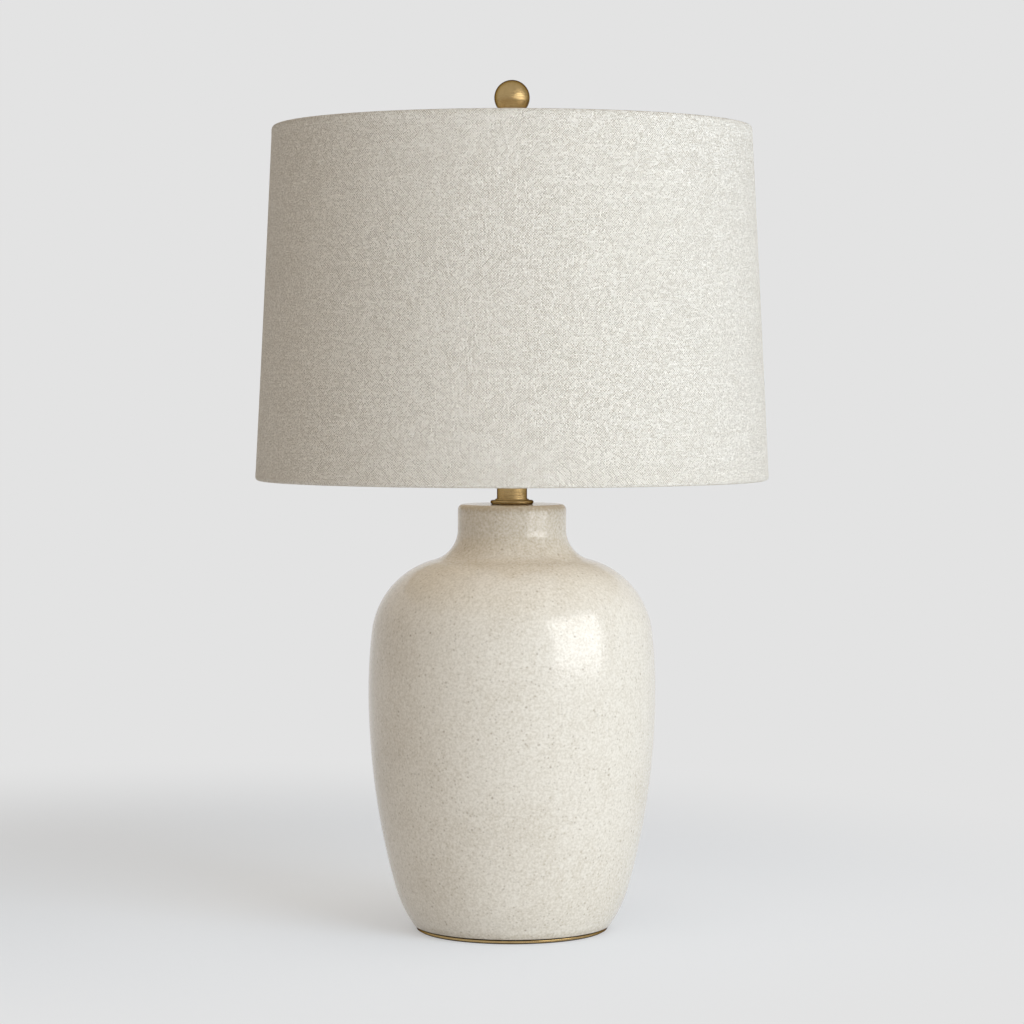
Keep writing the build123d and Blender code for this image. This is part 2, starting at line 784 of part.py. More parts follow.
def bulb_screw_base():
    """The threaded metal base of the bulb, with a plain collar above the thread."""
    base = threaded_shell(bulb_thread_radius, screw_shell_wall, bulb_thread_z, bulb_thread_turns)
    collar_bore = bulb_collar_radius - screw_shell_wall
    base += disc_ring(bulb_collar_radius, collar_bore, bulb_collar_z, bulb_collar_height)
    floor_radius = bulb_collar_radius - screw_shell_wall / 2
    return base + rod(floor_radius, bulb_thread_z, screw_shell_wall)


def bulb_curve(inset):
    """The bulb's outline above the base, moved in by inset: neck, hollow curve and ball."""
    neck = bulb_neck_radius - inset
    ball = bulb_radius - inset
    hollow = bulb_neck_arc + inset
    neck_top = bulb_glass_z + bulb_neck_straight
    centre_z = neck_top + math.sqrt((ball + hollow) ** 2 - (neck + hollow) ** 2)
    share = ball / (ball + hollow)
    meet = ((neck + hollow) * share, centre_z - (centre_z - neck_top) * share)
    top = (0, centre_z + ball)
    start = (neck, bulb_collar_z)
    return [
        Line(start, (neck, neck_top)),
        TangentArc((neck, neck_top), meet, tangent=(0, 1)),
        RadiusArc(meet, top, -ball),
    ]


def bulb_globe():
    """The frosted glass envelope, open at the neck where it is cemented into the base."""
    outside = bulb_curve(0)
    inside = bulb_curve(bulb_glass)
    crown = Line(outside[-1] @ 1, inside[-1] @ 1)
    mouth = Line(inside[0] @ 0, outside[0] @ 0)
    return revolve(Plane.XZ * make_face([*outside, crown, *inside, mouth]), Axis.Z)


# ---------------------------------------------------------------- shade
def slant_plane(top):
    """A plane across the wall at the shade's top or bottom edge: x goes in, y goes out past the edge."""
    radius = shade_top_radius if top else shade_bottom_radius
    z = shade_top_z if top else shade_bottom_z
    inward = Vector(-math.cos(shade_lean), 0, -math.sin(shade_lean))
    upward = Vector(-math.sin(shade_lean), 0, math.cos(shade_lean))
    past_edge = upward if top else -upward
    return Plane(origin=(radius, 0, z), x_dir=inward, z_dir=inward.cross(past_edge))


def hem_edges():
    """The outline of the roll of fabric round the top wire, from the wall's outside to its inside."""
    centre = (hem_radius, -hem_radius)
    inner = ring_wire_radius + ring_wire_gap
    around = 360 - hem_open_angle
    outside = CenterArc(centre, hem_radius, 180, -around)
    inside = CenterArc(centre, inner, 180, -around)
    return [
        outside,
        Line(outside @ 1, inside @ 1),
        inside,
        Line(inside @ 0, (fabric_thickness, -hem_radius)),
    ]


def ring_centre(top):
    """Radius and height of the middle of a ring's wire."""
    centre = slant_plane(top).from_local_coords((hem_radius, -hem_radius, 0))
    return centre.X, centre.Z


def shade_ring(top):
    """The wire ring inside the hem."""
    radius, z = ring_centre(top)
    return revolve(Plane.XZ * (Pos(radius, z) * Circle(ring_wire_radius)), Axis.Z)


def shade_liner():
    """The stiff plastic sheet that the fabric is laminated to."""
    centre = Pos(fabric_thickness + liner_thickness / 2, -shade_slant / 2)
    strip = centre * Rectangle(liner_thickness, shade_slant - 2 * hem_radius)
    return revolve(slant_plane(True) * strip, Axis.Z)


def shade_fabric():
    """The linen skin, rolled round the ring wires and cut out for the spider's arms."""
    low = hem_radius - shade_slant
    top_hem = hem_edges()
    bottom_hem = mirror(Curve(top_hem), about=Plane.XZ.offset(shade_slant / 2)).edges()
    outside = Line((0, low), (0, -hem_radius))
    inside = Line((fabric_thickness, low), (fabric_thickness, -hem_radius))
    section = make_face([outside, *top_hem, inside, *bottom_hem])
    return revolve(slant_plane(True) * section, Axis.Z) - spider_arms(spider_notch_gap)


def spider_hub():
    """The flat washer that sits on the harp's seat."""
    return disc_ring(spider_hub_radius, spider_hub_hole_radius, harp_seat_z, spider_hub_thickness)


def spider_arms(gap=0.0):
    """The wires from the hub out and up to the top ring, wider by gap where they are used as a cutter."""
    ring_radius_here, ring_z = ring_centre(True)
    reach = ring_radius_here - ring_wire_radius - spider_arm_radius
    z = hub_top_z + spider_arm_radius
    path = Plane.XZ * FilletPolyline(
        (spider_arm_start, z), (reach, z), (reach, ring_z + gap), radius=[spider_arm_bend]
    )
    section = Plane(origin=path @ 0, z_dir=path % 0) * Circle(spider_arm_radius + gap)
    arm = sweep(section, path)
    first = 90
    return Compound([Rot(0, 0, first + 360 * number / spider_arm_count) * arm for number in range(spider_arm_count)])


# ---------------------------------------------------------------- finial
def finial_base():
    """The turned brass foot of the finial, tapped for the stud."""
    cup_start = finial_base_height - finial_cup_height
    base = turned(
        [
            (0, 0),
            (finial_base_radius, 0),
            (finial_base_radius, finial_base_rim),
            (finial_waist_radius, finial_base_rim + finial_cup_height),
            (finial_waist_radius, cup_start),
            (finial_cup_radius, finial_base_height - finial_cup_height / 3),
            (finial_cup_radius, finial_base_height),
            (finial_spigot_radius, finial_base_height),
            (finial_spigot_radius, finial_base_height + finial_spigot_length),
            (0, finial_base_height + finial_spigot_length),
        ],
        hub_top_z,
    )
    return base - rod(stud_radius + thread_gap, hub_top_z, finial_bore_depth)


def finial_ball():
    """The brass ball, faced off to sit on the base and bored for its spigot."""
    seat = hub_top_z + finial_base_height
    centre = seat + math.sqrt(finial_ball_radius**2 - finial_cup_radius**2)
    ball = Pos(0, 0, centre) * Sphere(finial_ball_radius)
    ball -= rod(2 * finial_ball_radius, seat - finial_ball_radius, finial_ball_radius)
    return ball - rod(finial_spigot_radius + slip_gap, seat, finial_spigot_length + slip_gap)


# ---------------------------------------------------------------- every node, and its file
def main():
    """Builds each piece and writes it to parts/NODE.step."""
    jar = jar_body()
    nodes = {
        "felt_pad": felt_pad(),
        "base_plate": base_plate(),
        "base_gasket": base_gasket(),
        "jar_body": jar,
        "cord_grommet": cord_grommet(jar),
        "foot_washer": foot_washer(),
        "foot_lock_washer": foot_lock_washer(),
        "foot_nut": foot_nut(),
        "threaded_pipe": threaded_pipe(),
        "check_ring": check_ring(),
        "neck_tube": neck_tube(),
        "neck_cap": neck_cap(),
        "harp_saddle": harp_saddle(),
        "saddle_nut": saddle_nut(),
        "harp_wire": harp_wire(),
        "harp_stud": harp_stud(),
        "harp_ferrule_front": harp_ferrule(-1),
        "harp_ferrule_back": harp_ferrule(1),
        "socket_cap": socket_cap(),
        "cap_set_screw": cap_set_screw(),
        "socket_shell": socket_shell(),
        "socket_sleeve": socket_sleeve(),
        "socket_insulator": socket_insulator(),
        "screw_shell": screw_shell(),
        "centre_contact": centre_contact(),
        "terminal_screw_live": terminal_screw(-1),
        "terminal_screw_neutral": terminal_screw(1),
        "switch_stem": switch_stem(),
        "switch_rotor": switch_rotor(),
        "switch_knob": switch_knob(),
        "bulb_contact": bulb_contact(),
        "bulb_insulator": bulb_insulator(),
        "bulb_screw_base": bulb_screw_base(),
        "bulb_globe": bulb_globe(),
        "shade_fabric": shade_fabric(),
        "shade_liner": shade_liner(),
        "shade_top_ring": shade_ring(True),
        "shade_bottom_ring": shade_ring(False),
        "spider_hub": spider_hub(),
        "spider_arms": spider_arms(),
        "finial_base": finial_base(),
        "finial_ball": finial_ball(),
    }
    os.makedirs("parts", exist_ok=True)
    for name, shape in nodes.items():
        export_step(shape, f"parts/{name}.step")
    inlet = inlet_plane()
    print("cord inlet", inlet.origin, inlet.z_dir)
    print("shade", shade_bottom_z, shade_top_z, "switch", switch_z, "harp seat", harp_seat_z)


main()
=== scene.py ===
"""Looks of the jar table lamp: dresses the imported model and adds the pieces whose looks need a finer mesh.

Every length is in metres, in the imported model's frame: the origin is the middle of the underside, +Z is up
and the front faces -Y.
"""

import logging
import math
from dataclasses import dataclass
from enum import Enum
from functools import cache
from typing import Any, Sequence, Union

import bmesh
import bpy
import numpy as np
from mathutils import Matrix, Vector


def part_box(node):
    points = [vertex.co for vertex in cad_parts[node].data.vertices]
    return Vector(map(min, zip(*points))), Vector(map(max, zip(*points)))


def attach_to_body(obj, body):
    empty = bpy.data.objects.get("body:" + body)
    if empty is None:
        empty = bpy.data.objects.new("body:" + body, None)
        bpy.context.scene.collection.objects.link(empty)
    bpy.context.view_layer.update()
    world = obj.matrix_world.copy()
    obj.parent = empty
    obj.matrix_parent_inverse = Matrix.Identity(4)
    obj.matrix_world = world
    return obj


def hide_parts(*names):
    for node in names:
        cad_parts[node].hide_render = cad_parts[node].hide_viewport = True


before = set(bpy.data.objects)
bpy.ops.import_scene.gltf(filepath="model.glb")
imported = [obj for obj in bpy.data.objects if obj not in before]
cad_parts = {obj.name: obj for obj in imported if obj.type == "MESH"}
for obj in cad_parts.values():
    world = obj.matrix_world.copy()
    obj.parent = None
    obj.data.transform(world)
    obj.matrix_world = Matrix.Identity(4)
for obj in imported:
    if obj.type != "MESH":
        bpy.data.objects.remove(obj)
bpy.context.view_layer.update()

MM = 0.001
TAU = 2 * math.pi
Array = np.ndarray
Colour = tuple[float, float, float]
Corner = tuple[float, float, float]  # radius, height and rounding
log = logging.getLogger("lamp")


# ------------------------------------------------------------------------------------------- shader graphs
class Val:
    """A shader value. Arithmetic on it adds Math nodes to its graph."""

    def __init__(self, graph: "Graph", socket: bpy.types.NodeSocket) -> None:
        """Wraps an output socket of the graph."""
        self.graph = graph
        self.socket = socket

    def _math(self, operation: str, *operands: "Number") -> "Val":
        """Adds one Math node with the operation on the operands."""
        return self.graph.node("ShaderNodeMath", {"operation": operation}, dict(enumerate(operands)))

    def __add__(self, other: "Number") -> "Val":
        """self + other."""
        return self._math("ADD", self, other)

    __radd__ = __add__

    def __sub__(self, other: "Number") -> "Val":
        """self - other."""
        return self._math("SUBTRACT", self, other)

    def __rsub__(self, other: "Number") -> "Val":
        """other - self."""
        return self._math("SUBTRACT", other, self)

    def __mul__(self, other: "Number") -> "Val":
        """self * other."""
        return self._math("MULTIPLY", self, other)

    __rmul__ = __mul__

    def __truediv__(self, other: "Number") -> "Val":
        """self / other."""
        return self._math("DIVIDE", self, other)

    def __pow__(self, other: "Number") -> "Val":
        """self to the power of other."""
        return self._math("POWER", self, other)

    def sin(self) -> "Val":
        """Sine of the value in radians."""
        return self._math("SINE", self)

    def floor(self) -> "Val":
        """The whole number below."""
        return self._math("FLOOR", self)

    def fract(self) -> "Val":
        """What is left above the whole number below."""
        return self._math("FRACT", self)

    def at_most(self, other: "Number") -> "Val":
        """The smaller of the two."""
        return self._math("MINIMUM", self, other)

    def at_least(self, other: "Number") -> "Val":
        """The larger of the two."""
        return self._math("MAXIMUM", self, other)

    def above(self, other: "Number") -> "Val":
        """1 where the value is greater than other, 0 elsewhere."""
        return self._math("GREATER_THAN", self, other)

    def step(self, low: float, high: float) -> "Val":
        """A smooth step from 0 at low to 1 at high; low may be the larger of the two."""
        settings = {"interpolation_type": "SMOOTHSTEP"}
        ends = (0.0, 1.0) if low < high else (1.0, 0.0)
        inputs = {"Value": self, "From Min": min(low, high), "From Max": max(low, high)}
        inputs.update({"To Min": ends[0], "To Max": ends[1]})
        return self.graph.node("ShaderNodeMapRange", settings, inputs)


Number = Union[Val, float]
Paint = Union[Val, Colour]


class Graph:
    """A node tree that is built from expressions."""

    def __init__(self, tree: bpy.types.NodeTree) -> None:
        """Empties the tree."""
        self.tree = tree
        tree.nodes.clear()

    def connect(self, node: bpy.types.Node, key: Union[int, str], value: Any) -> None:
        """Links or sets one input.

        Args:
            node: the node whose input it is.
            key: the input's name or number.
            value: a Val to link, or a number, colour or vector to set.
        """
        socket = node.inputs[key]
        if isinstance(value, Val):
            self.tree.links.new(value.socket, socket)
        elif isinstance(value, tuple) and len(value) == 3 and socket.type == "RGBA":
            socket.default_value = (*value, 1.0)
        else:
            socket.default_value = value

    def node(self, kind: str, settings: dict[str, Any], inputs: dict[Any, Any], output: Any = 0) -> Val:
        """Adds a node.

        Args:
            kind: Blender's name for the node's type.
            settings: the node's own options, which are set first.
            inputs: values or links of its sockets, by name or number.
            output: the output that is used, by name or number.

        Returns:
            The chosen output, as a value.
        """
        made = self.tree.nodes.new(kind)
        for key, value in settings.items():
            setattr(made, key, value)
        for key, value in inputs.items():
            self.connect(made, key, value)
        return Val(self, made.outputs[output])

    def mix(self, factor: Number, first: Paint, second: Paint) -> Val:
        """A colour that goes from first to second as factor goes from 0 to 1."""
        return self.node("ShaderNodeMix", {"data_type": "RGBA"}, {0: factor, 6: first, 7: second}, 2)

    def place(self) -> Val:
        """The point on the piece in metres, in the lamp's frame."""
        return self.node("ShaderNodeTexCoord", {}, {}, "Object")

    def parts(self, vector: Val) -> tuple[Val, Val, Val]:
        """The vector's three numbers."""
        split = self.node("ShaderNodeSeparateXYZ", {}, {0: vector})
        outputs = split.socket.node.outputs
        return tuple(Val(self, outputs[index]) for index in range(3))

    def vector(self, x: Number, y: Number, z: Number) -> Val:
        """A vector of three numbers."""
        return self.node("ShaderNodeCombineXYZ", {}, {0: x, 1: y, 2: z})

    def stretch(self, vector: Val, scale: tuple[float, float, float]) -> Val:
        """The vector with each number multiplied by its own scale."""
        return self.node("ShaderNodeVectorMath", {"operation": "MULTIPLY"}, {0: vector, 1: scale})

    def noise(self, vector: Val, size: float, detail: float = 2.0, rough: float = 0.5) -> Val:
        """Soft noise from 0 to 1 about 0.5.

        Args:
            vector: where the noise is read, in metres.
            size: width of its largest blobs, in metres.
            detail: number of finer layers.
            rough: strength of each finer layer.

        Returns:
            The noise.
        """
        inputs = {"Vector": vector, "Scale": 1 / size, "Detail": detail, "Roughness": rough}
        return self.node("ShaderNodeTexNoise", {}, inputs)

    def random(self, *numbers: Number) -> Val:
        """An even random number from 0 to 1 for each pair of whole numbers."""
        vector = self.vector(numbers[0], numbers[1] if len(numbers) > 1 else 0.0, 0.0)
        return self.node("ShaderNodeTexWhiteNoise", {"noise_dimensions": "3D"}, {"Vector": vector})


class PaintGraph(Graph):
    """The node tree of one material, with one Principled shader at its end."""

    def __init__(self, name: str) -> None:
        """Starts a material of that name."""
        self.material = bpy.data.materials.new(name)
        self.material.use_nodes = True
        super().__init__(self.material.node_tree)
        self.shader = self.tree.nodes.new("ShaderNodeBsdfPrincipled")
        self.output = self.tree.nodes.new("ShaderNodeOutputMaterial")
        self.connect(self.output, "Surface", Val(self, self.shader.outputs[0]))

    def bump(self, height: Val, depth: float, strength: float = 1.0) -> None:
        """Feeds a Bump node to the shader's normal.

        Args:
            height: the relief, from 0 to 1.
            depth: how deep 1 is, in metres.
            strength: share of the bump that is used.
        """
        inputs = {"Height": height, "Distance": depth, "Strength": strength}
        self.connect(self.shader, "Normal", self.node("ShaderNodeBump", {}, inputs))

    def finish(self, **inputs: Any) -> bpy.types.Material:
        """Sets the shader's inputs.

        Args:
            inputs: each socket's name, with _ for a space, and its value or link.

        Returns:
            The finished material.
        """
        for key, value in inputs.items():
            self.connect(self.shader, key.replace("_", " "), value)
        return self.material


# ---------------------------------------------------------------------------------------------- finishes
@dataclass(frozen=True)
class Finish:
    """A surface finish. Each kind paints its own graph."""

    name: str

    @cache
    def material(self) -> bpy.types.Material:
        """The finish's material, made once."""
        return self.paint(PaintGraph(self.name))

    def paint(self, graph: PaintGraph) -> bpy.types.Material:
        """Builds the finish in the graph and returns its material."""
        raise NotImplementedError


@dataclass(frozen=True)
class Glaze(Finish):
    """Glossy cream glaze: soft tan clouds, a mottled grain and small iron specks, browner at lip and foot,
    with painted shade and warm bounce light browning the shoulder and neck under the shade.
    """

    cream: Colour = (0.652, 0.585, 0.490)
    tan: Colour = (0.41, 0.335, 0.24)
    speck: Colour = (0.22, 0.165, 0.115)
    foot: float = 4 * MM
    lip: float = 338.7 * MM
    many_below: float = 60 * MM
    few_above: float = 300 * MM
    lip_band: tuple[float, float] = (9 * MM, 1 * MM)
    foot_band: float = 7 * MM
    # heights below the lip over which painted shade and warm bounce light brown the glaze under the shade
    painted_shade_band: tuple[float, float] = (60 * MM, 20 * MM)
    cloud_size: float = 60 * MM
    mottle_size: float = 4.6 * MM
    grain_size: float = 1.8 * MM
    ripple_size: float = 9 * MM
    clouds: float = 0.14
    mottle: float = 0.35
    grain: float = 1.2
    rim_warmth: float = 0.40
    # strength of the painted shade and warm bounce light on the neck and shoulder
    painted_shade_warmth: float = 0.28
    warmth: float = 0.18
    fine_cell: float = 3.4 * MM
    large_cell: float = 9.0 * MM
    fine_radius: float = 0.22
    large_radius: float = 0.10
    fine_dark: float = 0.42
    large_dark: float = 0.60
    relief: float = 0.5 * MM

    def paint(self, graph: PaintGraph) -> bpy.types.Material:
        """Clouds, grain and specks each darken the cream, painted shade browns the neck and shoulder under
        the shade, and the surface has the grain's faint relief.
        """
        place = graph.place()
        height = graph.parts(place)[2]
        clouds = graph.noise(place, self.cloud_size, 3.0).step(0.42, 0.68)
        mottle = graph.noise(place, self.mottle_size, 1.0)
        grain = graph.noise(place, self.grain_size, 1.0, 0.6)
        lip = height.step(self.lip - self.lip_band[0], self.lip - self.lip_band[1])
        foot = height.step(self.foot + self.foot_band, self.foot)
        # painted shade: the neck and shoulder under the shade are browned as if shaded and lit by warm bounce
        # light
        neck = height.step(self.lip - self.painted_shade_band[0], self.lip - self.painted_shade_band[1])
        warmth = clouds * self.clouds + (mottle - 0.5) * self.mottle + (grain - 0.5) * self.grain
        warmth = warmth + (lip + foot) * self.rim_warmth + neck * self.painted_shade_warmth + self.warmth
        cream = graph.mix(warmth.at_least(0.0).at_most(1.0), self.cream, self.tan)
        low = height.step(self.few_above, self.many_below)
        fine = self.specks(graph, place, self.fine_cell, self.fine_radius, 0.35 + 0.45 * low)
        large = self.specks(graph, place, self.large_cell, self.large_radius, 0.35 + 0.35 * low)
        share = (fine * self.fine_dark + large * self.large_dark).at_most(1.0)
        dark = graph.mix(share, cream, self.speck)
        ripple = graph.noise(place, self.ripple_size, 1.0) * 0.35 + mottle * 0.3 + grain * 0.4
        graph.bump(ripple - large * 0.1, self.relief, 0.55)
        roughness = 0.07 + graph.noise(place, 14 * MM, 2.0) * 0.07
        return graph.finish(Base_Color=dark, Roughness=roughness, IOR=1.52)

    def specks(self, graph: Graph, place: Val, cell: float, size: float, share: Number) -> Val:
        """Soft round specks, one to a cell in some of the cells.

        Args:
            graph: the glaze's graph.
            place: where the pattern is read.
            cell: width of a cell, in metres.
            size: radius of a speck, as a share of the cell.
            share: share of the cells that hold one.

        Returns:
            1 inside a speck, 0 outside.
        """
        inputs = {"Vector": place, "Scale": 1 / cell}
        distance = graph.node("ShaderNodeTexVoronoi", {}, inputs, "Distance")
        tint = Val(graph, distance.socket.node.outputs["Color"])
        pick = graph.parts(tint)
        disc = distance.step(size * 1.7, size * 0.3)
        return disc * (share - pick[0]).step(0.0, 0.05) * (0.35 + 0.65 * pick[1])


@dataclass(frozen=True)
class Linen(Finish):
    """Plain-woven oatmeal linen, with painted shade in the gaps between threads. It reads the piece's UV map,
    which is in metres: across and up.
    """

    pale: Colour = (1.0, 0.915, 0.79)
    flax: Colour = (0.47, 0.385, 0.28)
    # painted shade: the colour of the shadowed gaps between threads
    painted_gap_shade: Colour = (0.36, 0.295, 0.215)
    thread: float = 0.97 * MM
    depth: float = 1.3 * MM
    crumple: float = 1.3 * MM
    warp_wander: float = 5 * MM
    weft_wander: float = 4 * MM
    wander: float = 2.2
    tone_share: float = 0.42
    weft_dark: float = 1.25
    blotch_share: float = 0.14
    shade_shift: float = 0.63

    def paint(self, graph: PaintGraph) -> bpy.types.Material:
        """Each thread is a rounded ridge that rises over one crossing thread and dips under the next; painted
        shade darkens the low places between threads.
        """
        cloth = graph.node("ShaderNodeUVMap", {"uv_map": "cloth"}, {})
        mirrored = graph.stretch(cloth, (-1.0, 1.0, 1.0))
        warp_shift = graph.noise(cloth, self.warp_wander, 2.0) - 0.5
        weft_shift = graph.noise(mirrored, self.weft_wander, 2.0) - 0.5
        across, up, _ = graph.parts(cloth)
        warp = across / self.thread + warp_shift * self.wander
        weft = up / self.thread + weft_shift * self.wander
        over = self.ridge(graph, warp, weft, 0.0)
        under = self.ridge(graph, weft, warp, math.pi)
        weft_shows = under.above(over)
        height = over.at_least(under)
        tone = self.thread_tone(graph, warp.floor(), up, 17.0) * (1 - weft_shows)
        tone = tone + self.thread_tone(graph, weft.floor(), across, 71.0) * weft_shows
        fibre = graph.random(warp.floor() + 1000 * weft_shows, weft.floor())
        blotch = graph.noise(graph.stretch(cloth, (0.45, 1.0, 1.0)), 16 * MM, 2.0) - 0.5
        shade = tone * self.tone_share + (fibre - 0.5) + weft_shows * self.weft_dark
        shade = shade + blotch * self.blotch_share - self.shade_shift
        thread = graph.mix(shade.at_least(0.0).at_most(1.0), self.pale, self.flax)
        # painted shade: where the threads are low, between them, the colour is darkened as if shadowed
        colour = graph.mix(height.step(0.52, 0.14) * 0.9, thread, self.painted_gap_shade)
        crumple = graph.noise(cloth, self.crumple, 1.0)
        graph.bump(height * 0.6 + fibre * 0.15 + crumple * 0.9, self.depth, 1.0)
        return graph.finish(Base_Color=colour, Roughness=0.92, Sheen_Weight=0.1, Specular_IOR_Level=0.2)

    def ridge(self, graph: Graph, own: Val, other: Val, phase: float) -> Val:
        """Height of one set of threads.

        Args:
            graph: the linen's graph.
            own: place across the threads, in threads.
            other: place along the threads, in crossing threads.
            phase: 0 for the set that is on top at the first crossing, pi for the other.

        Returns:
            The rounded cross-section times the wave along the thread, from 0 to 1.
        """
        side = own.fract() - 0.5
        round_top = 1 - side * side * 3.2
        wave = ((other + own.floor()) * math.pi + phase).sin() * 0.5 + 0.5
        return round_top * (wave * 0.75 + 0.25)

    def thread_tone(self, graph: Graph, index: Val, along: Val, seed: float) -> Val:
        """How dark a thread is at a place along it.

        Args:
            graph: the linen's graph.
            index: the thread's number.
            along: place along the thread, in metres.
            seed: a number that tells the two sets of threads apart.

        Returns:
            The thread's own tone plus that of its slubs, from about 0 to 1.
        """
        own = graph.random(index, seed)
        run = graph.noise(graph.vector(index * 7.31 + seed, along * 55, 0.0), 1.0, 2.0)
        return own * 0.35 + run.step(0.48, 0.78) * 0.75


@dataclass(frozen=True)
class TurnedMetal(Finish):
    """Metal with fine marks: rings round the lamp's axis as a lathe leaves them, and a mottled patina."""

    metal: Colour = (0.46, 0.325, 0.15)
    patina: Colour = (0.25, 0.16, 0.06)
    roughness: float = 0.27
    ring: float = 0.35 * MM
    patina_share: float = 0.35
    edge: Colour = (1.0, 1.0, 1.0)
    groove: float = 0.03 * MM

    def paint(self, graph: PaintGraph) -> bpy.types.Material:
        """Rings are noise that is stretched flat round the axis; patina is soft noise."""
        place = graph.place()
        rings = graph.noise(graph.stretch(place, (0.02, 0.02, 1.0)), self.ring, 3.0)
        cloud = graph.noise(place, 7 * MM, 4.0, 0.6)
        stain = cloud.step(0.45, 0.8) * self.patina_share
        colour = graph.mix(stain, self.metal, self.patina)
        lathe = graph.noise(graph.stretch(place, (0.0, 0.0, 1.0)), self.ring / 3, 1.0)
        graph.bump(lathe + rings * 0.2, self.groove, 1.0)
        roughness = self.roughness + (rings - 0.5) * 0.12 + stain * 0.25
        return graph.finish(Base_Color=colour, Metallic=1.0, Roughness=roughness, Specular_Tint=self.edge)


@dataclass(frozen=True)
class Matter(Finish):
    """Rubber, felt, card, plastic or enamel: one colour with clouds, a grain and a roughness."""

    colour: Colour = (0.05, 0.05, 0.05)
    second: Colour = (0.08, 0.08, 0.08)
    roughness: float = 0.6
    grain: float = 0.4 * MM
    relief: float = 0.05 * MM

    def paint(self, graph: PaintGraph) -> bpy.types.Material:
        """Clouds mix the two colours, and the grain roughens and embosses the surface."""
        place = graph.place()
        cloud = graph.noise(place, 9 * MM, 4.0, 0.6)
        grain = graph.noise(place, self.grain, 3.0, 0.6)
        colour = graph.mix((cloud * 0.6 + grain * 0.4).step(0.3, 0.7), self.colour, self.second)
        graph.bump(grain, self.relief)
        return graph.finish(Base_Color=colour, Roughness=self.roughness + (grain - 0.5) * 0.2)


@dataclass(frozen=True)
class FrostedGlass(Finish):
    """The bulb's soft white glass, which lets light through without showing what is inside."""

    colour: Colour = (0.90, 0.89, 0.86)

    def paint(self, graph: PaintGraph) -> bpy.types.Material:
        """Milky glass: mostly scattering, under a smooth skin with a faint waviness."""
        ripple = graph.noise(graph.place(), 12 * MM, 1.0)
        graph.bump(ripple, 0.03 * MM, 0.4)
        coating = graph.noise(graph.place(), 20 * MM, 3.0)
        colour = graph.mix(coating.step(0.3, 0.9) * 0.25, self.colour, (0.80, 0.78, 0.74))
        return graph.finish(Base_Color=colour, Roughness=0.12, Transmission_Weight=0.12, IOR=1.45)


CREAM_GLAZE = Glaze("cream_speckled_glaze")
LINEN = Linen("oatmeal_woven_linen")
ANTIQUE_BRASS = TurnedMetal("aged_brass", roughness=0.17, edge=(0.08, 0.055, 0.03), groove=0.12 * MM)
BRASS_PLATE = TurnedMetal("plated_brass", (0.64, 0.50, 0.28), (0.40, 0.29, 0.15), 0.24, 0.8 * MM, 0.25)
SPUN_BRASS = TurnedMetal("spun_sheet_brass", (0.74, 0.59, 0.32), (0.45, 0.32, 0.16), 0.2, 0.3 * MM, 0.2)
ZINC = TurnedMetal("bright_zinc", (0.60, 0.61, 0.62), (0.42, 0.42, 0.42), 0.34, 0.5 * MM, 0.4)
NICKEL = TurnedMetal("soft_nickel", (0.70, 0.68, 0.64), (0.50, 0.48, 0.45), 0.22, 0.4 * MM, 0.2)
ALUMINIUM = TurnedMetal("rolled_aluminium", (0.77, 0.77, 0.78), (0.62, 0.62, 0.62), 0.3, 0.5 * MM, 0.3)
SOLDER = TurnedMetal("solder_drop", (0.56, 0.56, 0.57), (0.4, 0.4, 0.4), 0.42, 2 * MM, 0.5)
RUBBER = Matter("moulded_rubber", (0.018, 0.018, 0.018), (0.03, 0.029, 0.028), 0.65, 0.6 * MM, 0.04 * MM)
FELT = Matter("pressed_felt", (0.03, 0.027, 0.025), (0.06, 0.055, 0.05), 0.95, 0.5 * MM, 0.3 * MM)
CARD = Matter("insulating_card", (0.36, 0.25, 0.16), (0.46, 0.34, 0.23), 0.85, 0.8 * MM, 0.05 * MM)
MOULDED = Matter("black_phenolic", (0.02, 0.02, 0.021), (0.03, 0.03, 0.03), 0.45, 0.5 * MM, 0.03 * MM)
KNOB_BLACK = Matter("polished_knob", (0.013, 0.013, 0.013), (0.022, 0.022, 0.022), 0.28, 1.5 * MM, 0.02 * MM)
BLACK_GLASS = Matter("dark_glass", (0.012, 0.012, 0.014), (0.018, 0.018, 0.02), 0.1, 4 * MM, 0.02 * MM)
STYRENE = Matter("styrene_sheet", (0.80, 0.785, 0.745), (0.76, 0.74, 0.69), 0.42, 0.9 * MM, 0.04 * MM)
ENAMEL = Matter("baked_enamel", (0.78, 0.77, 0.74), (0.72, 0.71, 0.67), 0.3, 1.2 * MM, 0.03 * MM)
GLASS = FrostedGlass("milky_glass")


# ------------------------------------------------------------------------------------------------- meshes
@dataclass
class Surface:
    """A grid of points, row by row, whose rows and columns may each close on themselves."""

    points: Array
    rows_close: bool = False
    columns_close: bool = True
    cloth: Union[Array, None] = None

    def faces(self, start: int) -> tuple[Array, Array]:
        """The grid's quads.

        Args:
            start: number of the grid's first point in the mesh.

        Returns:
            The point numbers of each quad, and the texture place of each of its corners.
        """
        rows, columns = self.points.shape[:2]
        row = np.arange(rows if self.rows_close else rows - 1)
        column = np.arange(columns if self.columns_close else columns - 1)
        row, column = (part.ravel() for part in np.meshgrid(row, column, indexing="ij"))
        corner_rows = np.stack([row, row, row + 1, row + 1], 1)
        corner_columns = np.stack([column, column + 1, column + 1, column], 1)
        quads = start + (corner_rows % rows) * columns + corner_columns % columns
        if self.cloth is None:
            return quads, np.zeros((*quads.shape, 2))
        return quads, self.cloth[corner_rows, corner_columns]


